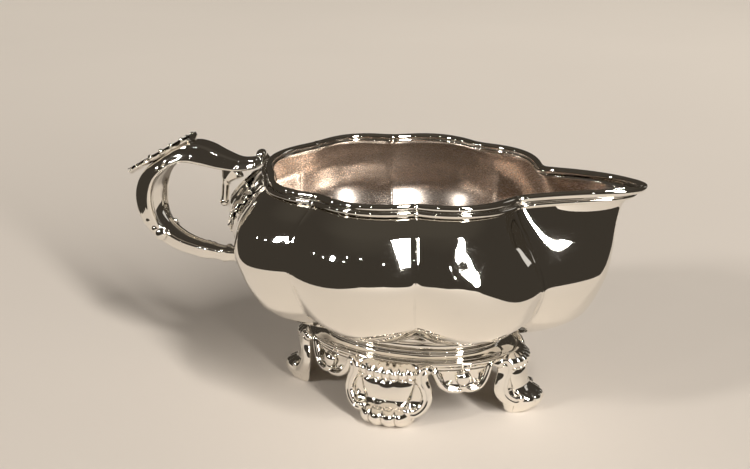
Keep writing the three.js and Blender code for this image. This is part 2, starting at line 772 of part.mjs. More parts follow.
const APRONS = [
  ["apron_spout_left", 1, 1],
  ["apron_handle_left", -1, 1],
  ["apron_handle_right", -1, -1],
  ["apron_spout_right", 1, -1],
];
for (const [name, sideX, sideY] of APRONS) {
  const geometry = apronGeometry();
  geometry.scale(sideX, sideY, 1);
  if (sideX * sideY < 0) geometry.index.array.reverse();
  place(name, geometry, CAST_SILVER);
}

place("handle_scroll", handleScrollGeometry(), CAST_SILVER);
place("handle_leaf", handleLeafGeometry(), CAST_SILVER);
place("handle_spur", handleSpurGeometry(), CAST_SILVER);
place("handle_socket", handleSocket, CAST_SILVER);
place("handle_pad", handlePad, CAST_SILVER);

// The origin goes under the middle of the whole length
const extent = new THREE.Box3().setFromObject(boat);
boat.position.x = -(extent.min.x + extent.max.x) / 2;

export default boat;
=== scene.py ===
"""Looks of a silver sauce boat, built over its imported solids.

Shapes are worked out in millimetres from the middle of the foot, with x to the spout, y to the
left and z up, and then placed in the frame in metres.
"""

import logging
from dataclasses import dataclass
from enum import Enum
from functools import cached_property, lru_cache, partial
from math import acos, asin, atan, atan2, cos, dist, exp, hypot, pi, radians, remainder, sin, sqrt
from typing import Callable, Sequence

import bmesh
import bpy
from mathutils import Matrix, Vector


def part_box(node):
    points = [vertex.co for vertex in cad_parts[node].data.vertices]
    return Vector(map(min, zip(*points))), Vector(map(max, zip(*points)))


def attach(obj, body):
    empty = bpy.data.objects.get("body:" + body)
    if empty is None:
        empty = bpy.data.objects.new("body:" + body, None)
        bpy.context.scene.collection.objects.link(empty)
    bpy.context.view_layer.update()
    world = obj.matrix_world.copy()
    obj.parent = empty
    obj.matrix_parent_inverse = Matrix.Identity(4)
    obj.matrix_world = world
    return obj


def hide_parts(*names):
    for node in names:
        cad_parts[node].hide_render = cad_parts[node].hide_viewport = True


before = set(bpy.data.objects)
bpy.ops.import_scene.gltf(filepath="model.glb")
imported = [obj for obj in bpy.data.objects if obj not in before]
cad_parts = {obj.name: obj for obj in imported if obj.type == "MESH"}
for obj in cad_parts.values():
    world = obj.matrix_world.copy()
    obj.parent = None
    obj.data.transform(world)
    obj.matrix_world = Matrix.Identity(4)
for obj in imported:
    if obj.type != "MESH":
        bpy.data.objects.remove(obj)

LOG = logging.getLogger("sauce_boat")
Point = tuple[float, float, float]
Flat = tuple[float, float]
Row = tuple[float, ...]
Cells = tuple[int, int]
Shape = Callable[[float, float], Point]
Options = dict[object, object] | None

MM = 0.001
TURN = 2 * pi
WELD = 2e-6
BALL_CELLS = (20, 12)
INSIDE_FADE = 0.02
AIM_HEIGHT = 0.06
ROOT = "root"


def lerp(a: float, b: float, t: float) -> float:
    """The value a share t of the way from a to b."""
    return a + (b - a) * t


def clamp(value: float, low: float = 0, high: float = 1) -> float:
    """The value held between two limits."""
    return min(max(value, low), high)


def smooth_step(value: float, low: float, high: float) -> float:
    """A rise from 0 to 1 between low and high, level at both ends."""
    t = clamp((value - low) / (high - low))
    return t * t * (3 - 2 * t)


def bump(value: float, width: float) -> float:
    """A bell of height 1 round zero."""
    return exp(-((value / width) ** 2))


def band(value: float, rise: Flat, fall: Flat) -> float:
    """A stretch of 1 between a smooth rise from 0 and a smooth fall back to it."""
    return smooth_step(value, *rise) * (1 - smooth_step(value, *fall))


def smooth_through(stations: Sequence[float], values: Sequence[float], at: float) -> float:
    """A smooth curve through stations, with no overshoot between them.

    Args:
        stations: Rising places along the curve.
        values: The value at each station.
        at: Where the curve is read.

    Returns:
        The curve's value there.
    """
    last = len(stations) - 1
    x = clamp(at, stations[0], stations[last])
    i = 0
    while i < last - 1 and x > stations[i + 1]:
        i += 1

    def slope(k: int) -> float:
        """Slope of the stretch after station k."""
        return (values[k + 1] - values[k]) / (stations[k + 1] - stations[k])

    def tangent(k: int) -> float:
        """Slope of the curve at station k.

        Args:
            k: The station's number.

        Returns:
            The slope.
        """
        if k in (0, last):
            return slope(min(k, last - 1))
        before, after = slope(k - 1), slope(k)
        return 0 if before * after <= 0 else 2 * before * after / (before + after)

    span = stations[i + 1] - stations[i]
    t = (x - stations[i]) / span
    t2, t3 = t * t, t * t * t
    return (
        values[i] * (2 * t3 - 3 * t2 + 1)
        + tangent(i) * span * (t3 - 2 * t2 + t)
        + values[i + 1] * (3 * t2 - 2 * t3)
        + tangent(i + 1) * span * (t3 - t2)
    )


def curve_at(points: Sequence[Sequence[float]], t: float, closed: bool = False) -> list[float]:
    """A point on a smooth curve through the given points.

    Args:
        points: The points, each with any number of values.
        t: Share of the way along, from 0 to 1.
        closed: Whether the last point joins the first.

    Returns:
        The values at t.
    """
    n = len(points)
    place = t * (n if closed else n - 1)
    i = min(int(place), (n if closed else n - 1) - 1)
    f = place - i

    def at(k: int) -> Sequence[float]:
        """Point k, wrapped round or held at the ends."""
        return points[k % n] if closed else points[min(max(k, 0), n - 1)]

    rows = zip(at(i - 1), at(i), at(i + 1), at(i + 2))
    return [
        0.5 * (2 * b + (c - a) * f + (2 * a - 5 * b + 4 * c - d) * f * f + (3 * b - a - 3 * c + d) * f**3)
        for a, b, c, d in rows
    ]


def capped(along: float, cap: float) -> Flat:
    """How far a flat cap has opened at a share along, and the share between the two caps."""
    return min(along / cap, (1 - along) / cap, 1), clamp((along - cap) / (1 - 2 * cap))


def round_end(along: float, cap: float) -> float:
    """The share of its thickness that a rod with round ends has."""
    return sqrt(clamp(min(along, 1 - along) / cap))


def two_faces(around: float, front_share: float) -> tuple[bool, float]:
    """Whether a share round a plate lies on its front, and how far across, from -1 to 1.

    Args:
        around: Share of the way round the plate.
        front_share: The front's share of it.

    Returns:
        Whether it is the front, and the place across.
    """
    if around < front_share:
        return True, 2 * around / front_share - 1
    return False, 1 - 2 * (around - front_share) / (1 - front_share)


def across_path(path: Sequence[Sequence[float]], t: float, step: float) -> Flat:
    """The direction square to a path that starts with x and z, towards its inner side.

    Args:
        path: The path's points.
        t: Share of the way along.
        step: Half the stretch that is measured.

    Returns:
        The direction, of length 1.
    """
    ax, az = curve_at(path, max(t - step, 0))[:2]
    bx, bz = curve_at(path, min(t + step, 1))[:2]
    length = hypot(bx - ax, bz - az)
    return (az - bz) / length, (bx - ax) / length


def linked(name: str, data: bpy.types.ID) -> bpy.types.Object:
    """A new object in the scene.

    Args:
        name: The object's name.
        data: Its mesh, camera or lamp.

    Returns:
        The object.
    """
    made = bpy.data.objects.new(name, data)
    bpy.context.scene.collection.objects.link(made)
    return made


FOOT_LOW, FOOT_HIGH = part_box("foot_ring")
FOOT_MIDDLE_X = (FOOT_LOW.x + FOOT_HIGH.x) / 2


def placed(point: Point) -> Vector:
    """A point given in millimetres from the middle of the foot, in the frame."""
    return Vector((FOOT_MIDDLE_X + point[0] * MM, point[1] * MM, point[2] * MM))


class Signal:
    """An output socket that shader maths can be written with."""

    def __init__(self, graph: "Graph", socket: bpy.types.NodeSocket) -> None:
        """Wraps a socket of a graph."""
        self.graph = graph
        self.socket = socket

    def __add__(self, other: object) -> "Signal":
        """Sum."""
        return self.graph.node("Math", {"operation": "ADD"}, {0: self, 1: other})

    def __mul__(self, other: object) -> "Signal":
        """Product."""
        return self.graph.node("Math", {"operation": "MULTIPLY"}, {0: self, 1: other})

    __radd__ = __add__
    __rmul__ = __mul__

    def above(self, low: float, high: float) -> "Signal":
        """A smooth rise from 0 to 1 between two values."""
        settings = {"interpolation_type": "SMOOTHSTEP"}
        return self.graph.node("MapRange", settings, {"Value": self, 1: low, 2: high})


class Graph:
    """A node tree that is written as expressions."""

    def __init__(self, tree: bpy.types.NodeTree) -> None:
        """Starts from an empty tree."""
        self.tree = tree
        tree.nodes.clear()

    def node(
        self, kind: str, settings: Options = None, sockets: Options = None, output: object = 0
    ) -> Signal:
        """Adds a node.

        Args:
            kind: The node's type, without the words that every type starts with.
            settings: Properties that are set first.
            sockets: Values or signals for its inputs, by name or number.
            output: The output that is returned, by name or number.

        Returns:
            That output as a signal.
        """
        made = self.tree.nodes.new(f"ShaderNode{kind}")
        for key, value in (settings or {}).items():
            setattr(made, key, value)
        for key, value in (sockets or {}).items():
            if isinstance(value, Signal):
                self.tree.links.new(value.socket, made.inputs[key])
            else:
                made.inputs[key].default_value = value
        return Signal(self, made.outputs[output] if made.outputs else None)

    def mix(self, share: object, first: object, second: object) -> Signal:
        """Mixes two colours."""
        sockets = {"Factor": share, 6: first, 7: second}
        return self.node("Mix", {"data_type": "RGBA"}, sockets, output=2)

    def noise(self, where: Signal, scale: float, detail: float = 3) -> Signal:
        """Noise between 0 and 1 over a coordinate."""
        sockets = {"Vector": where, "Scale": scale, "Detail": detail}
        return self.node("TexNoise", None, sockets, output="Fac")


def colour(values: Point) -> tuple[float, float, float, float]:
    """An opaque colour from linear values."""
    return (*values, 1)


class Slot(Enum):
    """The record's material slots."""

    RAISED = "raised_silver"
    CAST = "cast_silver"


@dataclass(frozen=True)
class SilverFinish:
    """Polished silver with tarnish left in its recesses and fine wear, and painted shade on the bowl's inner
    skin.
    """

    name: str
    slot: Slot
    polish: Point = (0.93, 0.9, 0.84)
    tarnish: Point = (0.17, 0.135, 0.095)
    # painted shade: the bowl's inner skin is painted a darker, browner tone than the outside
    painted_inner_shade: Point = (0.68, 0.57, 0.49)
    hollows: Flat = (250, 1500)
    recess_share: float = 0.8
    roughness: float = 0.02
    recess_roughness: float = 0.28
    inside_roughness: float = 0.24
    inner_shade_share: float = 0.75
    wear: float = 0.05
    scratch_scale: float = 900
    scratch_stretch: Point = (1, 1, 9)
    scratch_band: Flat = (0.56, 0.72)
    cloud_scale: float = 90
    cloud_band: Flat = (0.6, 0.85)
    cloud_tarnish: float = 0.05
    cloud_roughness: float = 0.01
    ripple_scale: float = 55
    ripple: float = 0.00004

    @cached_property
    def material(self) -> bpy.types.Material:
        """The node material.

        Returns:
            The material.
        """
        made = bpy.data.materials.new(self.name)
        made.use_nodes = True
        graph = Graph(made.node_tree)
        where = graph.node("TexCoord", output="Object")
        recess = graph.node("Attribute", {"attribute_name": "recess"}, output="Fac")
        inside = graph.node("Attribute", {"attribute_name": "inside"}, output="Fac")
        cloud = graph.noise(where, self.cloud_scale)
        stretched = graph.node("Mapping", None, {"Vector": where, "Scale": self.scratch_stretch})
        scratches = graph.noise(stretched, self.scratch_scale, 2).above(*self.scratch_band)
        dark = recess * self.recess_share + cloud.above(*self.cloud_band) * self.cloud_tarnish
        # painted shade: the inner skin's colour is mixed towards the darker, browner tone
        tone = graph.mix(inside * self.inner_shade_share, colour(self.polish), colour(self.painted_inner_shade))
        base = graph.mix(dark, tone, colour(self.tarnish))
        rough = self.roughness + recess * self.recess_roughness + scratches * self.wear
        rough = rough + cloud * self.cloud_roughness + inside * self.inside_roughness
        height = graph.noise(where, self.ripple_scale, 1)
        relief = {"Height": height, "Strength": 1, "Distance": self.ripple}
        normal = graph.node("Bump", None, relief)
        sockets = {"Base Color": base, "Metallic": 1, "Roughness": rough, "Normal": normal}
        shader = graph.node("BsdfPrincipled", None, sockets)
        graph.node("OutputMaterial", None, {"Surface": shader})
        return made


class Piece:
    """One soldered piece of silver, built up skin by skin."""

    def __init__(self, name: str) -> None:
        """Starts an empty piece."""
        self.name = name
        self.mesh = bmesh.new()

    def skin(self, cells: Cells, shape: Shape, inside_until: float = -1) -> None:
        """Bends a grid into a surface.

        Args:
            cells: Cells along the first and the second direction.
            shape: Where a point goes, from its two shares between 0 and 1.
            inside_until: The share along up to which the surface is an inner one.
        """
        layer = self.mesh.verts.layers.float.get("inside") or self.mesh.verts.layers.float.new("inside")
        grid = bmesh.ops.create_grid(self.mesh, x_segments=cells[0], y_segments=cells[1], size=0.5)
        for vert in grid["verts"]:
            share = vert.co.y + 0.5
            vert[layer] = 1 - smooth_step(share, inside_until - INSIDE_FADE, inside_until)
            vert.co = placed(shape(vert.co.x + 0.5, share))

    def ball(self, centre: Point, radius: float, squash: Point = (1, 1, 1), turn: float = 0) -> None:
        """Adds a round or flattened ball.

        Args:
            centre: Its middle.
            radius: Its radius.
            squash: How much of the radius it keeps along each axis.
            turn: The angle that its own axes are turned by about the upright.
        """
        size = Matrix.Diagonal((*squash, 1))
        matrix = Matrix.Translation(placed(centre)) @ Matrix.Rotation(turn, 4, "Z") @ size
        ball = bmesh.new()
        across, up = BALL_CELLS
        bmesh.ops.create_uvsphere(ball, u_segments=across, v_segments=up, radius=radius * MM, matrix=matrix)
        data = bpy.data.meshes.new("ball")
        ball.to_mesh(data)
        ball.free()
        self.mesh.from_mesh(data)
        bpy.data.meshes.remove(data)

    def _mark_recesses(self, mesh: bpy.types.Mesh, hollows: Flat) -> None:
        """Writes how hollow the surface is at each point, as an attribute.

        Args:
            mesh: The finished mesh.
            hollows: The hollowness at which tarnish starts to show, and where it is full.
        """
        hollow = [0] * len(self.mesh.verts)
        for vert in self.mesh.verts:
            edges = vert.link_edges
            if not edges:
                continue
            reach = sum(edge.calc_length() for edge in edges) / len(edges)
            lean = sum((edge.other_vert(vert).co - vert.co).normalized().dot(vert.normal) for edge in edges)
            hollow[vert.index] = 2 * lean / len(edges) / max(reach, 1e-6)
        for _ in range(2):
            hollow = [
                0.5 * hollow[vert.index]
                + 0.5 * sum(hollow[edge.other_vert(vert).index] for edge in vert.link_edges)
                / max(len(vert.link_edges), 1)
                for vert in self.mesh.verts
            ]
        attribute = mesh.attributes.new("recess", "FLOAT", "POINT")
        attribute.data.foreach_set("value", [smooth_step(value, *hollows) for value in hollow])

    def finish(self, silver: SilverFinish, *nodes: str) -> None:
        """Closes the piece and puts it in the scene in place of its solids.

        Args:
            silver: Its finish.
            nodes: The solids that it stands for.
        """
        bmesh.ops.remove_doubles(self.mesh, verts=self.mesh.verts[:], dist=WELD)
        bmesh.ops.recalc_face_normals(self.mesh, faces=self.mesh.faces[:])
        self.mesh.normal_update()
        self.mesh.verts.index_update()
        mesh = bpy.data.meshes.new(self.name)
        for face in self.mesh.faces:
            face.smooth = True
        self.mesh.to_mesh(mesh)
        self._mark_recesses(mesh, silver.hollows)
        made = linked(self.name, mesh)
        mesh.materials.append(silver.material)
        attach(made, ROOT)
        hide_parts(*nodes)
        LOG.info("%s: %d faces", self.name, len(self.mesh.faces))
        self.mesh.free()


def make_piece(name: str, node: str, silver: SilverFinish, cells: Cells, shape: Shape) -> None:
    """Makes a piece that is one surface.

    Args:
        name: The piece's name.
        node: The solid that it stands for.
        silver: The finish.
        cells: Cells along the first and the second direction.
        shape: Where a point of the surface goes.
    """
    piece = Piece(name)
    piece.skin(cells, shape)
    piece.finish(silver, node)


@dataclass(frozen=True)
class GrooveForm:
    """How far out a groove between two lobes stands against the rim, from the floor up."""

    lengthwise: Row
    crosswise: Row


@dataclass(frozen=True, eq=False)
class LobedForm:
    """The bowl's outer form: lobes whose plan changes from the floor to the rim."""

    rim_height: float = 88
    floor_height: float = 30
    lip_rise: float = 3
    lip_reach: float = 84
    centre_x: float = -2.5
    neck_half: Flat = (35, 23.4)
    cusps: tuple[Flat, ...] = ((42.2, 20), (13.4, 40.4), (-21, 40.4), (-45.6, 22))
    shares: Row = (0, 0.026, 0.06, 0.135, 0.19, 0.295, 0.45, 0.59, 0.72, 0.86, 1)
    spout_groove: GrooveForm = GrooveForm(
        (0.56, 0.66, 0.8, 1.02, 1.12, 1.23, 1.29, 1.25, 1.17, 1.07, 1),
        (0.58, 0.65, 0.74, 0.93, 1.03, 1.16, 1.25, 1.25, 1.2, 1.12, 1),
    )
    side_groove: GrooveForm = GrooveForm(
        (0.56, 0.65, 0.78, 0.97, 1.07, 1.18, 1.26, 1.32, 1.32, 1.22, 1),
        (0.58, 0.64, 0.71, 0.88, 0.99, 1.19, 1.32, 1.38, 1.34, 1.24, 1),
    )
    handle_groove: GrooveForm = GrooveForm(
        (0.56, 0.66, 0.79, 0.97, 1.04, 1.14, 1.24, 1.29, 1.28, 1.18, 1),
        (0.58, 0.65, 0.73, 0.91, 1.01, 1.16, 1.32, 1.37, 1.33, 1.22, 1),
    )
    breast: Row = (38, 45, 52.5, 62, 65.8, 69.5, 73, 74.2, 74.8, 76.4, 84)
    bulge: Row = (0.05, 0.13, 0.2, 0.265, 0.305, 0.25, 0.21, 0.195, 0.19, 0.18, 0.175)
    groove_softness: float = 0.045
    rim_softness: float = 0.24
    spout_softness: Row = (0.05, 0.05, 0.05, 0.05, 0.05, 0.05, 0.07, 0.15, 0.4, 0.48, 0.42)
    spout_pinch: Row = (0, 0, 0, 0, 0, 0, 0, 0.12, 0.5, 0.88, 0.5)
    rim_soft_from: float = 0.52
    neck_share: float = 0.052
    petal_lead: float = 0.006
    petal_lag: float = 0.012
    petal_edge: float = 0.4
    petal_band: tuple[Flat, Flat] = ((0, 0.02), (0.05, 0.25))
    lobes: int = 8
    handle_lobe: int = 4

    @lru_cache(maxsize=None)
    def level(self, share: float) -> Row:
        """Sizes at one height: breast, bulge, softness, the spout's softness and its pinch.

        Args:
            share: Share of the bowl's height.

        Returns:
            The five sizes.
        """
        rows = (self.breast, self.bulge, self.spout_softness, self.spout_pinch)
        breast, bulge, spout_soft, pinch = (smooth_through(self.shares, row, share) for row in rows)
        soft = lerp(self.groove_softness, self.rim_softness, smooth_step(share, self.rim_soft_from, 1))
        return breast, bulge, soft, spout_soft, pinch

    @lru_cache(maxsize=None)
    def groove(self, index: int, share: float) -> Flat:
        """Where a groove stands at a share of the height, counted from the spout's right side.

        Args:
            index: The groove's number.
            share: Share of the bowl's height.

        Returns:
            The groove's x and y.
        """
        left = 0 < index <= len(self.cusps)
        number = index - 1 if left else (self.lobes - index) % self.lobes
        form = (self.spout_groove, self.side_groove, self.side_groove, self.handle_groove)[number]
        x, y = self.cusps[number]
        along = smooth_through(self.shares, form.lengthwise, share)
        across = smooth_through(self.shares, form.crosswise, share)
        return self.centre_x + (x - self.centre_x) * along, (y if left else -y) * across

    def petal(self, phi: float, share: float) -> float:
        """The share whose plan is used: a lobe starts lower at its middle than at its grooves."""
        lead = lerp(self.petal_lead, -self.petal_lag, smooth_step(abs(phi), self.petal_edge, 1))
        return round(max(share + lead * band(share, *self.petal_band), 0), 5)

    def plan(self, lobe: int, phi: float, share: float) -> Flat:
        """A point on the plan.

        Args:
            lobe: The lobe, counted from the spout.
            phi: From -1 at one groove to 1 at the other.
            share: Share of the height from the floor to the rim.

        Returns:
            The point's x and y.
        """
        share = self.petal(phi, share)
        x0, y0 = self.groove(lobe % self.lobes, share)
        x1, y1 = self.groove((lobe + 1) % self.lobes, share)
        breast, bulge, soften, spout_soft, pinch = self.level(share)
        chord = hypot(x1 - x0, y1 - y0)

        def rise(soft: float) -> float:
            """Rise across the chord with its ends rounded."""
            return (hypot(1 - phi * phi, soft) - soft) / (hypot(1, soft) - soft)

        swell = chord * bulge * rise(soften)
        if lobe % self.lobes == 0:
            swell = (breast - x0) * rise(spout_soft) * (1 - pinch * phi**6)
        mid = (phi + 1) / 2
        x = lerp(x0, x1, mid) + (y1 - y0) / chord * swell
        y = lerp(y0, y1, mid) + (x0 - x1) / chord * swell
        flat = 1 - smooth_step(share, 0, self.neck_share)
        to_neck = 1 / hypot(x / self.neck_half[0], y / self.neck_half[1])
        return lerp(x, x * to_neck, flat), lerp(y, y * to_neck, flat)

    def round_plan(self, around: float, share: float) -> Flat:
        """A point on the plan from a share of the whole way round, closer set near the grooves.

        Args:
            around: Share of the way round.
            share: Share of the bowl's height.

        Returns:
            The point's x and y.
        """
        place = (around % 1) * self.lobes
        lobe = min(int(place), self.lobes - 1)
        return self.plan(lobe, -cos(pi * (place - lobe)), share)

    def outward(self, around: float, share: float) -> Flat:
        """The level direction that points out of the plan.

        Args:
            around: Share of the way round.
            share: Share of the bowl's height.

        Returns:
            The direction, of length 1.
        """
        step = 0.0015
        ax, ay = self.round_plan(around - step, share)
        bx, by = self.round_plan(around + step, share)
        length = hypot(bx - ax, by - ay)
        return (by - ay) / length, (ax - bx) / length

    def lip(self, x: float) -> float:
        """How far the lip has risen at x.

        Args:
            x: Place along the boat.

        Returns:
            The rise in millimetres.
        """
        root = self.cusps[0][0]
        t = clamp((x - root) / (self.lip_reach - root))
        return self.lip_rise * t * (2 - t)

    def height(self, share: float) -> float:
        """Height above the table at a share of the bowl."""
        return lerp(self.floor_height, self.rim_height, share)

    def share(self, height: float) -> float:
        """The share of the bowl at a height."""
        return (height - self.floor_height) / (self.rim_height - self.floor_height)


@dataclass
class Bowl:
    """The raised bowl: an outer skin, a hidden edge and an inner skin."""

    form: LobedForm
    sheet: float = 1.2
    top_below_rim: float = 2
    floor_lift: float = 0.9
    floor_cap: float = 0.03
    floor_fade: float = 0.1
    inner_until: float = 0.45
    inner_crowding: float = 1.3
    outer_crowding: float = 1.4
    dent_lobe: int = 7
    dent_phi: float = -0.25
    dent_share: float = 0.7375
    dent_radius: float = 7.6
    dent_depth: float = 0.5
    dent_reach: float = 1.6
    dent_slope: Flat = (0.35, 1.05)
    dent_brim: Point = (0.12, 1.12, 0.16)

    def dent(self, point: Point) -> float:
        """How far the shallow dent pushes the wall in at a point.

        Args:
            point: A point of the wall.

        Returns:
            The depth in millimetres.
        """
        x, y = self.form.plan(self.dent_lobe, self.dent_phi, self.dent_share)
        z = self.form.height(self.dent_share)
        far = dist(point, (x, y, z)) / self.dent_radius
        if far > self.dent_reach:
            return 0
        rise, place, width = self.dent_brim
        return self.dent_depth * (1 - smooth_step(far, *self.dent_slope) - rise * bump(far - place, width))

    def wall(self, around: float, share: float, offset: float, lift: float) -> Point:
        """A point on one of the two skins.

        Args:
            around: Share of the way round.
            share: Share of the bowl's height.
            offset: How far the skin stands out of the form.
            lift: How far it is raised.

        Returns:
            The point, in millimetres from the middle of the foot.
        """
        x, y = self.form.round_plan(around, share)
        nx, ny = self.form.outward(around, share)
        z = self.form.height(share) + lift + self.form.lip(x) * share
        push = offset - self.dent((x, y, z))
        return x + nx * push, y + ny * push, z

    def shape(self, around: float, along: float) -> Point:
        """The whole surface, from the middle of the inner floor over the edge and down.

        Args:
            around: Share of the way round.
            along: Share of the way from the inner floor over the edge to the outer one.

        Returns:
            The point, in millimetres from the middle of the foot.
        """
        inner = along < self.inner_until
        offset, lift = (-self.sheet, self.floor_lift) if inner else (0, 0)
        way, end = (along, self.inner_until) if inner else (1 - along, 1 - self.inner_until)
        if way < self.floor_cap:
            spread = way / self.floor_cap
            x, y, z = self.wall(around, 0, offset, lift)
            return x * spread, y * spread, z
        top = self.form.share(self.form.rim_height - self.top_below_rim)
        crowding = self.inner_crowding if inner else self.outer_crowding
        share = top * ((way - self.floor_cap) / (end - self.floor_cap)) ** crowding
        return self.wall(around, share, offset, lift * (1 - smooth_step(share, 0, self.floor_fade)))

    def build(self, silver: SilverFinish) -> None:
        """Makes the bowl's piece.

        Args:
            silver: The finish.
        """
        piece = Piece("bowl_sheet")
        piece.skin((384, 240), self.shape, self.inner_until)
        piece.finish(silver, "bowl")


@dataclass
class RimMoulding:
    """The applied reeded wire: an inner bead, a roll, a hollow and a lower reed."""

    form: LobedForm
    depth: float = 4.9
    most_lean: float = 0.3
    lip_share: float = 0.66
    section: tuple[Flat, ...] = (
        (-1.3, 1.7), (-1.35, 1), (-1, 0.45), (-0.6, 0.42), (-0.35, 0.72), (0, 0.35), (0.6, 0.02),
        (1.4, 0.12), (2.1, 0.7), (2.34, 1.45), (2.05, 2.2), (1.5, 2.65), (1, 2.95), (1.05, 3.3),
        (1.65, 3.5), (1.9, 4), (1.72, 4.5), (1.2, 4.85), (0.45, 4.8), (0.4, 3), (0.4, 1.8),
    )

    def lean(self, around: float) -> float:
        """The angle that the wall leans out by below the rim.

        Args:
            around: Share of the way round.

        Returns:
            The angle in radians.
        """
        low = self.form.share(self.form.rim_height - self.depth)
        x, y = self.form.round_plan(around, 1)
        lx, ly = self.form.round_plan(around, low)
        nx, ny = self.form.outward(around, 1)
        return max(atan2((lx - x) * nx + (ly - y) * ny, self.depth), -self.most_lean)

    def shape(self, around: float, along: float) -> Point:
        """The surface of the wire.

        Args:
            around: Share of the way round the rim.
            along: Share of the way round the wire's section.

        Returns:
            The point, in millimetres from the middle of the foot.
        """
        out, down = curve_at(self.section, along, closed=True)
        lean = self.lean(around)
        nx, ny = self.form.outward(around, 1)
        z = self.form.rim_height - down * cos(lean)
        x, y = self.form.round_plan(around, self.form.share(z))
        rise = self.form.lip(x)
        side = out * cos(lean) * lerp(1, self.lip_share, rise / self.form.lip_rise)
        return x + nx * side, y + ny * side, z + out * sin(lean) + rise

    def build(self, silver: SilverFinish) -> None:
        """Makes the moulding's piece."""
        make_piece("rim_wire", "rim_moulding", silver, (448, 96), self.shape)


@dataclass
class FootRing:
    """The collar wire under the bowl and the hollowed oval ring under it."""

    form: LobedForm
    gap: float = 0.3
    collar_radius: float = 1.35
    ridge_half: Flat = (40.4, 26.9)
    ridge_height: float = 23.2
    skirt_depth: float = 2.8

    def on_oval(self, out: float, z: float, around: float) -> Point:
        """A point at a distance out from the neck's oval.

        Args:
            out: Distance outwards, in millimetres.
            z: Height above the table.
            around: Share of the way round.

        Returns:
            The point, in millimetres from the middle of the foot.
        """
        a, b = self.form.neck_half
        width_share = (self.ridge_half[1] - b) / (self.ridge_half[0] - a)
        angle = TURN * around
        return (a + out) * cos(angle), (b + out * width_share) * sin(angle), z

    def collar_shape(self, around: float, along: float) -> Point:
        """The round wire.

        Args:
            around: Share of the way round the foot.
            along: Share of the way round the wire's section.

        Returns:
            The point, in millimetres from the middle of the foot.
        """
        angle = TURN * along
        top = self.form.floor_height - self.gap
        out = self.collar_radius * (cos(angle) - 0.5)
        return self.on_oval(out, top + self.collar_radius * (sin(angle) - 1), around)

    def ring_shape(self, around: float, along: float) -> Point:
        """The ring: a small roll, a hollow, the ridge and a short skirt.

        Args:
            around: Share of the way round the foot.
            along: Share of the way round the ring's section.

        Returns:
            The point, in millimetres from the middle of the foot.
        """
        top = self.form.floor_height - 2 * self.gap - 2 * self.collar_radius
        reach = self.ridge_half[0] - self.form.neck_half[0]
        low = self.ridge_height - self.skirt_depth
        ridge = self.ridge_height
        section = (
            (-2.4, top - 0.2), (-1.2, top), (-0.1, top - 0.05), (0.4, top - 0.55), (0.05, top - 1.1),
            (-0.55, top - 1.45), (-0.45, top - 2.1), (0.5, ridge + 0.75), (2.2, ridge + 0.2),
            (reach - 1.4, ridge + 0.05), (reach - 0.3, ridge - 0.1), (reach - 0.05, ridge - 0.7),
            (reach - 0.5, ridge - 1.3), (reach - 1.2, low + 0.7), (reach - 1.4, low + 0.05),
            (reach - 2.9, low + 0.05), (reach - 3.1, low + 0.6), (0.2, ridge - 1.2), (-2, top - 2),
        )
        out, z = curve_at(section, along, closed=True)
        return self.on_oval(out, z, around)

    def build(self, silver: SilverFinish) -> None:
        """Makes both pieces."""
        make_piece("collar_wire", "foot_collar", silver, (256, 20), self.collar_shape)
        make_piece("oval_ring", "foot_ring", silver, (256, 76), self.ring_shape)


@dataclass(frozen=True)
class FootPlace:
    """Where a shell foot stands on the oval."""

    node: str
    out_half: float
    across_half: float
    turn: float
    narrowing: float

    def bent(self, point: Point) -> Point:
        """Takes a point from the foot's own frame round the oval.

        Args:
            point: Along the oval, outwards from the ridge, and up.

        Returns:
            The point from the middle of the whole foot.
        """
        along = point[0] * self.narrowing
        fall_back = self.out_half * (1 - sqrt(max(0, 1 - (along / self.across_half) ** 2)))
        out = self.out_half + point[1] - fall_back
        c, s = cos(self.turn), sin(self.turn)
        return along * c - out * s, along * s + out * c, point[2]


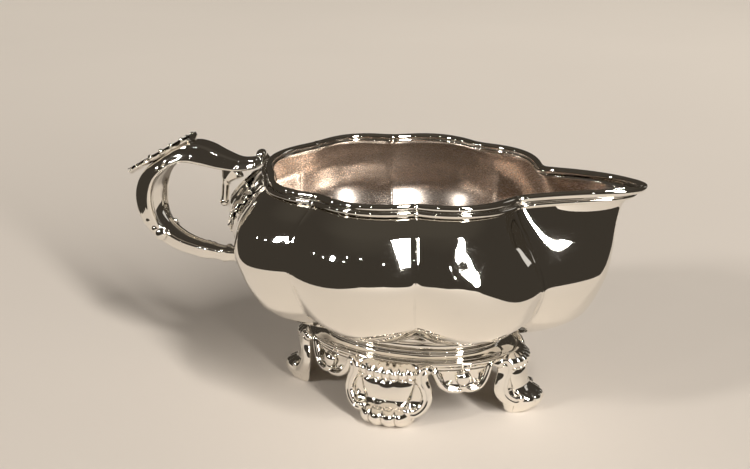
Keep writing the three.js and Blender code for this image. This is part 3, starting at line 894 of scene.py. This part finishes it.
@dataclass
class ShellFoot:
    """A cast shell foot: a fluted knee with beads, a smooth shin, a lobed toe and side scrolls."""

    top: float = 23.4
    cap: float = 0.03
    scroll_radius: float = 1.9
    swell_height: float = 0.18
    swell_place: float = 0.72
    swell_width: float = 0.2
    groove_depth: float = 0.34
    groove_width: float = 0.3
    knob_radius: float = 2
    web_setback: float = 0.4
    shell_share: float = 0.8
    dome_power: float = 2.6
    knee_flutes: float = 3.5
    knee_depth: float = 0.62
    knee_band: tuple[Flat, Flat] = ((0.68, 0.78), (0.9, 1))
    toe_depth: float = 0.75
    toe_end: Flat = (0.26, 0.36)
    shin_depth: float = 0.12
    shin_band: tuple[Flat, Flat] = ((0.3, 0.45), (0.6, 0.72))
    shares: Row = (0, 0.07, 0.18, 0.25, 0.3, 0.35, 0.42, 0.52, 0.65, 0.75, 0.79, 0.86, 0.93, 1)
    reach: Row = (6.2, 9, 10.8, 10.4, 9, 6.6, 5.1, 5, 4.5, 3.5, 4.9, 5.2, 4.2, 1.6)
    hollow: Row = (1.6, 0.7, 0.5, 0.6, 0.8, 1, 1.1, 1.2, 1.3, 1.2, 1, 0.8, 0.6, 0.5)
    half: Row = (8.6, 9.8, 10, 9.6, 8.8, 8.4, 8.6, 9.2, 9.9, 10.4, 11, 11.2, 10.6, 8)
    web_half: Row = (9, 10.2, 11, 12.4, 13, 13.8, 14.4, 14.5, 13.6, 12.8, 12.6, 12.6, 12.4, 10)
    side_scroll: tuple[Point, ...] = (
        (8.4, 5.6, 0.27), (11.2, 5, 0.25), (13.8, 4.2, 0.34), (14.9, 3.4, 0.48), (14.2, 3, 0.63),
        (12.9, 2.8, 0.76), (12.9, 2.6, 0.87), (14, 2.3, 0.925), (15.2, 2, 0.86),
    )
    knee_beads: int = 7
    bead_radius: float = 0.85
    bead_share: float = 0.76
    bead_height: float = 0.755
    beads_reach: float = 0.86

    def sizes(self, share: float) -> Row:
        """Reach, hollow, shell half width and web half width at a share of the height."""
        rows = (self.reach, self.hollow, self.half, self.web_half)
        return tuple(smooth_through(self.shares, row, share) for row in rows)

    def dome(self, u: float) -> float:
        """How far the shell stands out at a place across it, from -1 to 1."""
        return sqrt(max(0, 1 - abs(u) ** self.dome_power))

    def flute(self, u: float, share: float) -> float:
        """Depth of the flutes of the knee, the lobes of the toe and the leaf on the shin.

        Args:
            u: Place across, from -1 to 1.
            share: Share of the foot's height.

        Returns:
            The depth in millimetres.
        """
        knee = band(share, *self.knee_band)
        toe = 1 - smooth_step(share, *self.toe_end)
        shin = band(share, *self.shin_band)
        ribs = abs(cos(self.knee_flutes * pi * u)) ** 0.6 - 0.6
        scallops = abs(sin(TURN * u)) ** 0.5 - 0.6
        leaf = abs(cos(1.5 * pi * u)) ** 0.7 - 0.6
        depth = 2 * (self.toe_depth * toe * scallops + self.knee_depth * knee * ribs)
        return depth + self.shin_depth * shin * leaf

    def body_shape(self, place: FootPlace, around: float, along: float) -> Point:
        """The shell's surface with the web behind it, capped at the sole and the top.

        Args:
            place: Where the foot stands.
            around: Share of the way round the shell and its web.
            along: Share of the way up, with the caps.

        Returns:
            The point, in millimetres from the middle of the foot.
        """
        spread, share = capped(along, self.cap)
        reach, hollow, half, web_half = self.sizes(share)
        web = lerp(hollow, reach, self.web_setback)
        if around < self.shell_share:
            u = -cos(pi * around / self.shell_share)
            x, y = u * half, web + (reach - web + self.flute(u, share)) * self.dome(u)
        else:
            outline = ((half, web), (web_half, web), (web_half, hollow), (-web_half, hollow),
                       (-web_half, web), (-half, web))
            legs = len(outline) - 1
            walked = legs * (around - self.shell_share) / (1 - self.shell_share)
            leg = min(int(walked), legs - 1)
            x, y = (lerp(a, b, walked - leg) for a, b in zip(outline[leg], outline[leg + 1]))
        middle = (hollow + reach) / 2
        return place.bent((x * spread, lerp(middle, y, spread), share * self.top))

    def scroll_shape(self, place: FootPlace, side: int, around: float, along: float) -> Point:
        """The surface of one side scroll, a rod with round ends and a groove along its face.

        Args:
            place: Where the foot stands.
            side: 1 or -1.
            around: Share of the way round.
            along: Share of the way along.

        Returns:
            The point, in millimetres from the middle of the foot.
        """
        path = [(side * x, y, share * self.top) for x, y, share in self.side_scroll]
        here = Vector(curve_at(path, along))
        ahead = Vector(curve_at(path, min(along + 0.01, 1)))
        behind = Vector(curve_at(path, max(along - 0.01, 0)))
        run = (ahead - behind).normalized()
        face = (Vector((0.15 * side, 1, 0.1)) - run * run.y).normalized()
        across = run.cross(face).normalized()
        angle = TURN * around
        swell = 1 + self.swell_height * bump(along - self.swell_place, self.swell_width)
        groove = 1 - self.groove_depth * bump(remainder(angle, TURN), self.groove_width)
        thick = self.scroll_radius * round_end(along, 0.05) * swell * groove
        return place.bent(tuple(here + (face * cos(angle) + across * sin(angle)) * thick))

    def build(self, place: FootPlace, silver: SilverFinish) -> None:
        """Makes one foot's piece.

        Args:
            place: Where the foot stands.
            silver: The finish.
        """
        piece = Piece(f"shell_{place.node}")
        piece.skin((168, 120), partial(self.body_shape, place))
        for side in (-1, 1):
            piece.skin((28, 100), partial(self.scroll_shape, place, side))
            x, y, share = self.side_scroll[0]
            piece.ball(place.bent((side * x, y, share * self.top)), self.knob_radius)
        reach, hollow, half, _ = self.sizes(self.bead_share)
        web = lerp(hollow, reach, self.web_setback)
        for k in range(self.knee_beads):
            u = lerp(-self.beads_reach, self.beads_reach, k / (self.knee_beads - 1))
            out = web + (reach - web) * self.dome(u) + 0.7
            height = self.bead_height * self.top + 0.6 * u * u
            piece.ball(place.bent((u * half, out, height)), self.bead_radius)
        piece.finish(silver, place.node)


@dataclass
class ScrollApron:
    """A cast panel between two feet: a double scroll border with a boss over its cusp."""

    ring: FootRing
    inset: Flat = (1.6, 1.4)
    low: float = 11.2
    starts_at_y: float = 13.95
    stops_at_x: float = 17.1
    border_radius: float = 1.28
    border_lift: float = 1.25
    border_out: float = 0.75
    boss_radius: float = 3.1
    boss_flattening: float = 0.72
    neck_radius: float = 1.9
    border_span: Flat = (-0.12, 1.1)
    panel_length: float = 16
    groove_depth: float = 0.3
    groove_width: float = 0.28
    groove_turn: float = 0.75
    cusp_height: float = 0.14
    cusp_width: float = 0.11
    edge_rise: float = 0.5
    small_knobs: Flat = (0.22, 0.78)

    def half(self) -> Flat:
        """Half sizes of the oval that the panel lies on."""
        return self.ring.ridge_half[0] - self.inset[0], self.ring.ridge_half[1] - self.inset[1]

    def at(self, share: float, out: float, z: float) -> Point:
        """A point on the panel's oval at a share of its length.

        Args:
            share: Share of the panel's length.
            out: Distance outwards, in millimetres.
            z: Height above the table.

        Returns:
            The point, in millimetres from the middle of the foot.
        """
        a, b = self.half()
        angle = lerp(asin(self.starts_at_y / b), acos(self.stops_at_x / a), share)
        return (a + out) * cos(angle), (b + out) * sin(angle), z

    def top(self) -> float:
        """Height of the panel's upper edge."""
        return self.ring.ridge_height - self.ring.skirt_depth - self.ring.gap

    def edge(self, share: float) -> float:
        """Height of the lower edge.

        Args:
            share: Share of the panel's length.

        Returns:
            The height in millimetres.
        """
        from_middle = abs(2 * share - 1)
        swing = self.cusp_height * bump(from_middle, self.cusp_width) + self.edge_rise * from_middle**4
        return self.low + (self.top() - self.low) * swing

    def plate_shape(self, across: float, around: float) -> Point:
        """The panel behind the border, hollowed on each side of the boss.

        Args:
            across: Share of the panel's length.
            around: Share of the way round the panel's section.

        Returns:
            The point, in millimetres from the middle of the foot.
        """
        low, top = self.edge(across), self.top()
        section = (
            (-1.2, top), (-0.4, top), (0.3, top - 0.1), (0.25, top - 0.7), (-0.35, lerp(top, low, 0.35)),
            (-0.3, lerp(top, low, 0.6)), (0.2, low + 1.6), (0.1, low + 0.4), (-0.4, low + 0.1),
            (-1.1, low + 0.6),
        )
        out, z = curve_at(section, around, closed=True)
        return self.at(across, out, clamp(z, low, top))

    def border_shape(self, along: float, around: float) -> Point:
        """The border, a rod with a groove along its face.

        Args:
            along: Share of the way along.
            around: Share of the way round the rod.

        Returns:
            The point, in millimetres from the middle of the foot.
        """
        share = lerp(*self.border_span, along)
        angle = TURN * around
        groove = 1 - self.groove_depth * bump(remainder(angle - self.groove_turn, TURN), self.groove_width)
        thick = self.border_radius * round_end(along, 0.03) * groove
        slope = (self.edge(share + 0.01) - self.edge(share - 0.01)) / (0.02 * self.panel_length)
        lean = atan(slope)
        z = self.edge(share) + self.border_lift + thick * sin(angle) * cos(lean)
        share -= thick * sin(angle) * sin(lean) / self.panel_length
        return self.at(share, self.border_out + thick * cos(angle), z)

    def build(self, node: str, side_x: int, side_y: int, silver: SilverFinish) -> None:
        """Makes one apron's piece.

        Args:
            node: The solid that it stands for.
            side_x: 1 towards the spout, -1 towards the handle.
            side_y: 1 on the left, -1 on the right.
            silver: The finish.
        """
        piece = Piece(f"scroll_{node}")

        def mirrored(shape: Shape, across: float, around: float) -> Point:
            """A point of a surface, moved to this apron's quarter."""
            x, y, z = shape(across, around)
            return side_x * x, side_y * y, z

        def knob(share: float, out: float, z: float, radius: float, squash: Point) -> None:
            """A ball on the panel, turned to lie along it.

            Args:
                share: Share of the panel's length.
                out: Distance outwards, in millimetres.
                z: Height above the table.
                radius: The ball's radius.
                squash: How much of the radius it keeps along each axis.
            """
            x, y, _ = self.at(share, out, z)
            a, b = self.half()
            turn = atan2(side_y * y * a, side_x * x * b)
            piece.ball((side_x * x, side_y * y, z), radius, squash, turn)

        piece.skin((72, 40), partial(mirrored, self.plate_shape))
        piece.skin((140, 28), partial(mirrored, self.border_shape))
        boss_z = self.top() - self.boss_radius
        knob(0.5, 0.35, boss_z, self.boss_radius, (self.boss_flattening, 1, 1))
        knob(0.5, 0.6, lerp(self.low, boss_z, 0.42), self.neck_radius, (0.8, 1, 1.1))
        for share in self.small_knobs:
            knob(share, 0.1, self.edge(share) + 3.4, 0.9, (0.7, 1.6, 0.8))
        piece.finish(silver, node)


def rear_of(node: str) -> float:
    """The x of a node's rear end in millimetres from the middle of the foot."""
    return (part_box(node)[0].x - FOOT_MIDDLE_X) / MM


@dataclass
class ScrollHandle:
    """The cast handle: the scroll, its thumb leaf, the inner spur and what joins it to the bowl."""

    form: LobedForm
    reach: float = 117.5
    gap: float = 0.3
    end_lean: float = 0.75
    volute_radius: float = 1.85
    volute_half_width: float = 3
    arm: tuple[Row, ...] = (
        (0, 0.986, 1.5, 4.4), (0.073, 0.952, 2, 4.2), (0.18, 0.934, 2.3, 4.6), (0.3, 0.952, 3.1, 5.6),
        (0.421, 0.984, 3.9, 6.4), (0.516, 0.993, 3.8, 6.8), (0.611, 0.966, 2.9, 7.2), (0.718, 0.897, 2.6, 8),
        (0.808, 0.807, 3.5, 8.4), (0.853, 0.683, 4.2, 8.4),
    )
    tail: tuple[Row, ...] = (
        (0.82, 0.541, 4, 7.4), (0.741, 0.421, 3.3, 6), (0.592, 0.338, 2.9, 5), (0.41, 0.297, 2.6, 4.2),
        (0.235, 0.283, 2.3, 3.6), (0.19, 0.283, 3, 4.2), (0.141, 0.283, 2.3, 3.6), (0, 0.293, 2.4, 3.6),
    )
    half_section: tuple[Flat, ...] = (
        (0, -1), (0.42, -0.97), (0.66, -0.88), (0.78, -0.68), (0.81, -0.4), (0.85, -0.1), (0.91, 0.2),
        (0.98, 0.45), (1, 0.7), (0.92, 0.92), (0.76, 0.98), (0.62, 0.86), (0.48, 0.7), (0.25, 0.64),
        (0, 0.62),
    )
    end_cap: float = 0.006
    rings: Row = (0.775, 0.79)
    ring_swell: float = 0.13
    ring_width: float = 0.006
    knuckles: tuple[Point, ...] = (
        (-107.4, 58.6, 1.7), (-105, 55.2, 1.7), (-102.4, 53.4, 2.7), (-101.8, 55.4, 1.4),
    )
    knuckle_side: float = 5.2
    leaf_tip_height: float = 0.828
    leaf_crest: Flat = (0.534, 1.103)
    leaf_half_width: float = 8.5
    leaf_lobes: int = 6
    leaf_lobing: float = 0.07
    leaf_span: Flat = (0.03, 0.93)
    leaf_bead: float = 0.9
    leaf_beads: Row = (0.5, 0.667, 0.8, 0.93)
    spur_line: tuple[Flat, ...] = ((5.2, 0), (3.4, 0.2), (1.8, 0.45), (1.3, 0.75), (0.8, 1))
    spur_thickness: Flat = (5.4, 1.5)
    spur_half_width: float = 2.4
    spur_knob: float = 1.85
    socket_shares: Row = (0.4, 0.45, 0.52, 0.6, 0.67, 0.75, 0.82, 0.885)
    socket_halves: Row = (0.05, 0.2, 0.4, 0.58, 0.7, 0.82, 0.9, 0.93)
    socket_crowns: Row = (0.3, 0.9, 1.3, 1.7, 2.1, 2.5, 2.6, 2)
    socket_beads: Row = (0.6, 0.68, 0.76, 0.84)
    socket_bead: float = 0.8
    pad_shares: Flat = (0.217, 0.372)
    pad_half: float = 0.19
    front_share: float = 0.6

    @cached_property
    def roots(self) -> Flat:
        """The x where the arm starts at the rim, and where the tail ends at its pad."""
        return rear_of("rim_moulding") - self.gap - self.end_lean, rear_of("handle_pad") - self.gap

    @cached_property
    def stations(self) -> list[tuple[float, float, float, float]]:
        """The scroll's stations as x, z, half thickness and half width.

        Returns:
            The stations, from the rim to the tail.
        """
        arm_root, tail_root = self.roots
        rows = [(arm_root, row) for row in self.arm] + [(tail_root, row) for row in self.tail]
        return [
            (lerp(root, -self.reach, row[0]), self.form.height(row[1]), row[2], row[3]) for root, row in rows
        ]

    @cached_property
    def outline(self) -> list[Flat]:
        """The scroll's section, as shares of its half width and half thickness."""
        half = list(self.half_section)
        return half + [(-across, out) for across, out in reversed(half[1:-1])]

    def scroll_shape(self, around: float, along: float) -> Point:
        """The scroll: a rolled back, hollow sides, a bead beside the inner face and closed ends.

        Args:
            around: Share of the way round.
            along: Share of the way along.

        Returns:
            The point, in millimetres from the middle of the foot.
        """
        spread, t = capped(along, self.end_cap)
        x, z, thick, wide = curve_at(self.stations, t)
        nx, nz = across_path(self.stations, t, 0.004)
        across, inward = curve_at(self.outline, around, closed=True)
        swell = spread * (1 + sum(self.ring_swell * bump(t - ring, self.ring_width) for ring in self.rings))
        push = thick * inward * swell
        return x + nx * push, wide * across * swell, z + nz * push

    def leaf_line(self, t: float) -> tuple[float, float, float, float]:
        """A point on the thumb leaf's line from tip to crest, and the line's direction.

        Args:
            t: Share of the way along.

        Returns:
            The point's x and z, and the direction's x and z.
        """
        run, up = self.leaf_crest
        tip_x, tip_z = -self.reach, self.form.height(self.leaf_tip_height)
        crest_x, crest_z = lerp(self.roots[0], -self.reach, run), self.form.height(up)
        length = hypot(crest_x - tip_x, crest_z - tip_z)
        ux, uz = (crest_x - tip_x) / length, (crest_z - tip_z) / length
        return lerp(tip_x, crest_x, t), lerp(tip_z, crest_z, t), ux, uz

    def leaf_half(self, t: float) -> float:
        """The leaf's half width, with its lobes."""
        taper = sqrt(sin(pi * lerp(*self.leaf_span, t)))
        return self.leaf_half_width * taper * (1 + self.leaf_lobing * cos(TURN * self.leaf_lobes * t))

    def leaf_shape(self, around: float, along: float) -> Point:
        """The thumb leaf: a lobed plate with a raised edge, a midrib and veins.

        Args:
            around: Share of the way round.
            along: Share of the way along.

        Returns:
            The point, in millimetres from the middle of the foot.
        """
        spread, t = capped(along, 0.02)
        x, z, ux, uz = self.leaf_line(t)
        upper, u = two_faces(around, 0.5)
        if upper:
            vein = 0.16 * cos(TURN * (self.leaf_lobes * t - 1.6 * abs(u)))
            down = 0.34 - 0.3 * bump(abs(u) - 0.9, 0.13) - 0.28 * bump(u, 0.12)
            down -= vein * band(abs(u), (0.1, 0.4), (0.7, 0.9))
        else:
            down = 1.15 + 1.5 * sqrt(max(0, 1 - abs(u) ** 3))
        down = lerp(0.7, down, spread)
        return x + uz * down, u * self.leaf_half(t) * spread, z - ux * down

    def on_lobe(self, share: float, phi: float, lift: float) -> Point:
        """A point that stands off the bowl's lobe at the handle."""
        x, y = self.form.plan(self.form.handle_lobe, phi, share)
        return x - lift, y, self.form.height(share)

    def socket_point(self, share: float, u: float, lift: float) -> Point:
        """A point that stands off the bowl, from -1 to 1 across the bracket leaf."""
        return self.on_lobe(share, u * smooth_through(self.socket_shares, self.socket_halves, share), lift)

    def socket_shape(self, around: float, along: float) -> Point:
        """The bracket leaf that backs the arm: fluted, with a raised edge.

        Args:
            around: Share of the way round.
            along: Share of the way up the leaf.

        Returns:
            The point, in millimetres from the middle of the foot.
        """
        share = lerp(self.socket_shares[0], self.socket_shares[-1], along)
        crown = smooth_through(self.socket_shares, self.socket_crowns, share)
        front, u = two_faces(around, self.front_share)
        fluted = crown * (1 - u * u) * (0.7 + 0.3 * abs(cos(3.5 * pi * u)))
        edge = 0.5 * bump(abs(u) - 0.88, 0.1)
        lift = 0.8 + fluted + edge if front else 0.4
        return self.socket_point(share, u * (1 + 0.06 * cos(7 * TURN * along)), lift)

    def pad_shape(self, around: float, along: float) -> Point:
        """The small pad under the tail.

        Args:
            around: Share of the way round.
            along: Share of the way up the pad.

        Returns:
            The point, in millimetres from the middle of the foot.
        """
        half = self.pad_half * sqrt(clamp(1 - (2 * along - 1) ** 2, 0.1))
        front, u = two_faces(around, self.front_share)
        lift = 0.7 + (1 - u * u) * sin(pi * along) if front else 0.4
        return self.on_lobe(lerp(*self.pad_shares, along), u * half, lift)

    @cached_property
    def spur_path(self) -> list[Flat]:
        """The middle line of the spur, within the box of its solid.

        Returns:
            The line's points as x and z.
        """
        low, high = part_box("handle_spur")
        x = (high.x - FOOT_MIDDLE_X) / MM - 1.9
        top, bottom = high.z / MM + 1.2, low.z / MM + 1.9
        return [(x + along, lerp(top, bottom, down)) for along, down in self.spur_line]

    def spur_shape(self, around: float, along: float) -> Point:
        """The small scroll that hangs under the arm.

        Args:
            around: Share of the way round.
            along: Share of the way along.

        Returns:
            The point, in millimetres from the middle of the foot.
        """
        x, z = curve_at(self.spur_path, along)
        nx, nz = across_path(self.spur_path, along, 0.02)
        angle = TURN * around
        thick = lerp(*self.spur_thickness, smooth_step(along, 0, 0.55)) * round_end(along, 0.06)
        side = cos(angle) * thick
        wide = 1.1 * min(thick, self.spur_half_width)
        return x + nx * side, sin(angle) * wide, z + nz * side

    def build_scroll(self, silver: SilverFinish) -> None:
        """Makes the scroll with its volute and the curled leaf tips where its two curves meet.

        Args:
            silver: The finish.
        """
        scroll = Piece("handle_casting")
        scroll.skin((96, 300), self.scroll_shape)
        x = self.roots[0] - self.volute_radius + self.gap
        z = self.form.height(self.arm[0][1]) + self.arm[0][2]
        scroll.ball((x, 0, z), self.volute_radius, (1, self.volute_half_width / self.volute_radius, 1))
        for x, z, radius in self.knuckles:
            for side in (-1, 1):
                scroll.ball((x, side * self.knuckle_side, z), radius, (1, 0.7, 1))
        scroll.finish(silver, "handle_scroll")

    def build_leaf(self, silver: SilverFinish) -> None:
        """Makes the thumb leaf with a bead at the tip of each lobe.

        Args:
            silver: The finish.
        """
        leaf = Piece("thumb_leaf")
        leaf.skin((120, 150), self.leaf_shape)
        for t in self.leaf_beads:
            x, z, ux, uz = self.leaf_line(t)
            for side in (-1, 1):
                leaf.ball((x + uz * 0.3, side * (self.leaf_half(t) - 0.5), z - ux * 0.3), self.leaf_bead)
        leaf.finish(silver, "handle_leaf")

    def build(self, silver: SilverFinish) -> None:
        """Makes the handle's pieces.

        Args:
            silver: The finish.
        """
        self.build_scroll(silver)
        self.build_leaf(silver)
        spur = Piece("inner_spur")
        spur.skin((28, 60), self.spur_shape)
        x, z = self.spur_path[-1]
        spur.ball((x, 0, z), self.spur_knob)
        spur.finish(silver, "handle_spur")
        socket = Piece("socket_leaf")
        socket.skin((72, 90), self.socket_shape)
        for share in self.socket_beads:
            for u in (-0.95, 0.95):
                socket.ball(self.socket_point(share, u, 1), self.socket_bead)
        socket.finish(silver, "handle_socket")
        make_piece("tail_pad", "handle_pad", silver, (50, 40), self.pad_shape)


@dataclass
class PhotoCamera:
    """The camera at the photograph's place and angle."""

    from_foot: Point = (136.2, -437, 222.4)
    looks_along: Point = (-0.3086, 0.8925, -0.3289)
    lens: float = 62.4
    sensor: float = 36

    def build(self) -> None:
        """Makes the camera and sets it as the scene's."""
        data = bpy.data.cameras.new("photo_camera")
        data.lens = self.lens
        data.sensor_width = self.sensor
        data.sensor_fit = "HORIZONTAL"
        data.clip_start = 0.01
        made = linked("photo_camera", data)
        made.location = placed(self.from_foot)
        made.rotation_euler = Vector(self.looks_along).to_track_quat("-Z", "Y").to_euler()
        bpy.context.scene.camera = made


@dataclass(frozen=True)
class Lamp:
    """A soft lamp aimed at the boat, placed by its bearing from the spout, height and distance."""

    name: str
    bearing: float
    elevation: float
    distance: float
    size: Flat
    watts: float
    tint: Point = (1, 0.965, 0.92)

    def build(self) -> None:
        """Makes the lamp."""
        data = bpy.data.lights.new(self.name, "AREA")
        data.shape = "RECTANGLE"
        data.size, data.size_y = self.size
        data.energy = self.watts
        data.color = self.tint
        made = linked(self.name, data)
        bearing, elevation = radians(self.bearing), radians(self.elevation)
        level = cos(elevation)
        away = Vector((level * cos(bearing), level * sin(bearing), sin(elevation)))
        made.location = Vector((FOOT_MIDDLE_X, 0, AIM_HEIGHT)) + away * self.distance
        made.rotation_euler = (-away).to_track_quat("-Z", "Y").to_euler()


@dataclass
class Studio:
    """A plain pale sheet in a dim room with a few warm lamps, the sheet painted paler towards the back as
    painted light.
    """

    table_colour: Point = (0.66, 0.6, 0.535)
    # painted light: the back of the sheet is painted paler to make up for the lamps' falloff
    painted_light_far_colour: Point = (0.98, 0.9, 0.8)
    painted_light_paling: Flat = (-0.1, 1)
    table_cloud: float = 0.04
    table_cloud_scale: float = 3
    table_cloud_band: Flat = (0.2, 0.8)
    table_roughness: float = 0.9
    table_rows: tuple[Flat, ...] = ((-1.15, 0.26), (0, 0.185), (1.25, 0.56))
    table_turn: float = 0.3329
    wall_colour: Point = (0.045, 0.038, 0.03)
    ceiling_colour: Point = (0.066, 0.057, 0.045)
    ceiling_from: Flat = (0.6, 1)
    lamps: tuple[Lamp, ...] = (
        Lamp("lamp_key", -41, 34, 4.5, (0.45, 3.6), 292),
        Lamp("lamp_left", -131, 27, 4.5, (0.4, 0.6), 70),
        Lamp("lamp_right", 44, 22, 2.5, (0.5, 1.3), 1.3),
    )
    small_lamps: tuple[Row, ...] = (
        (-158, 19, 0.05, 0.04, 0.5), (-144, 22, 0.06, 0.04, 0.7), (-110, 37, 0.06, 0.04, 0.7),
        (-88, 37, 0.06, 0.04, 0.7), (-112, 28, 0.07, 0.03, 0.6), (-58, 25, 0.04, 0.04, 0.5),
    )
    small_distance: float = 2.3

    def table(self) -> None:
        """Makes the table top, with painted light that makes it paler towards the back."""
        mesh = bmesh.new()
        grid = bmesh.ops.create_grid(mesh, x_segments=1, y_segments=2, size=1)
        for vert in grid["verts"]:
            away, half = self.table_rows[round(vert.co.y) + 1]
            vert.co = Vector((vert.co.x * half, away, 0))
        turn = Matrix.Rotation(self.table_turn, 4, "Z")
        bmesh.ops.transform(mesh, matrix=turn, verts=mesh.verts[:])
        data = bpy.data.meshes.new("table_top")
        mesh.to_mesh(data)
        mesh.free()
        made = linked("table_top", data)
        material = bpy.data.materials.new("table_surface")
        material.use_nodes = True
        graph = Graph(material.node_tree)
        where = graph.node("TexCoord", output="Object")
        shade = graph.noise(where, self.table_cloud_scale).above(*self.table_cloud_band)
        # painted light: the colour pales towards the back in place of lamp light that falls off
        away = graph.node("SeparateXYZ", None, {0: where}, output="Y").above(*self.painted_light_paling)
        tone = graph.mix(away, colour(self.table_colour), colour(self.painted_light_far_colour))
        base = graph.mix(shade * self.table_cloud, tone, colour(self.wall_colour))
        sockets = {"Base Color": base, "Roughness": self.table_roughness}
        shader = graph.node("BsdfPrincipled", None, sockets)
        graph.node("OutputMaterial", None, {"Surface": shader})
        data.materials.append(material)

    def room(self) -> None:
        """Makes the world: dark walls that turn into a paler ceiling."""
        world = bpy.data.worlds.new("room")
        bpy.context.scene.world = world
        world.use_nodes = True
        graph = Graph(world.node_tree)
        where = graph.node("TexCoord", output="Generated")
        up = graph.node("SeparateXYZ", None, {0: where}, output="Z")
        height = up.above(*self.ceiling_from)
        shade = graph.mix(height, colour(self.wall_colour), colour(self.ceiling_colour))
        shader = graph.node("Background", None, {"Color": shade, "Strength": 1})
        graph.node("OutputWorld", None, {"Surface": shader})

    def build(self) -> None:
        """Makes the table, the room and the lamps."""
        self.table()
        self.room()
        for lamp in self.lamps:
            lamp.build()
        for count, (bearing, elevation, wide, high, watts) in enumerate(self.small_lamps, 1):
            Lamp(f"lamp_small_{count}", bearing, elevation, self.small_distance, (wide, high), watts).build()
        bpy.context.scene.view_settings.view_transform = "Standard"


def main() -> None:
    """Builds the boat and its stage."""
    logging.basicConfig(level=logging.INFO)
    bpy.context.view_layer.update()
    PhotoCamera().build()
    Studio().build()
    raised = SilverFinish("raised_silver_finish", Slot.RAISED, hollows=(130, 420))
    cast = SilverFinish("cast_silver_finish", Slot.CAST, roughness=0.04, wear=0.08)
    form = LobedForm()
    Bowl(form).build(raised)
    RimMoulding(form).build(raised)
    ring = FootRing(form)
    ring.build(cast)
    long_half, wide_half = ring.ridge_half
    foot = ShellFoot()
    for place in (
        FootPlace("foot_spout", long_half, wide_half, -pi / 2, 0.88),
        FootPlace("foot_left", wide_half, long_half, 0, 1),
        FootPlace("foot_handle", long_half, wide_half, pi / 2, 0.88),
        FootPlace("foot_right", wide_half, long_half, pi, 1),
    ):
        foot.build(place, cast)
    apron = ScrollApron(ring)
    for end, side_x in (("spout", 1), ("handle", -1)):
        for side, side_y in (("left", 1), ("right", -1)):
            apron.build(f"apron_{end}_{side}", side_x, side_y, cast)
    ScrollHandle(form).build(cast)


if __name__ == "__main__":
    main()
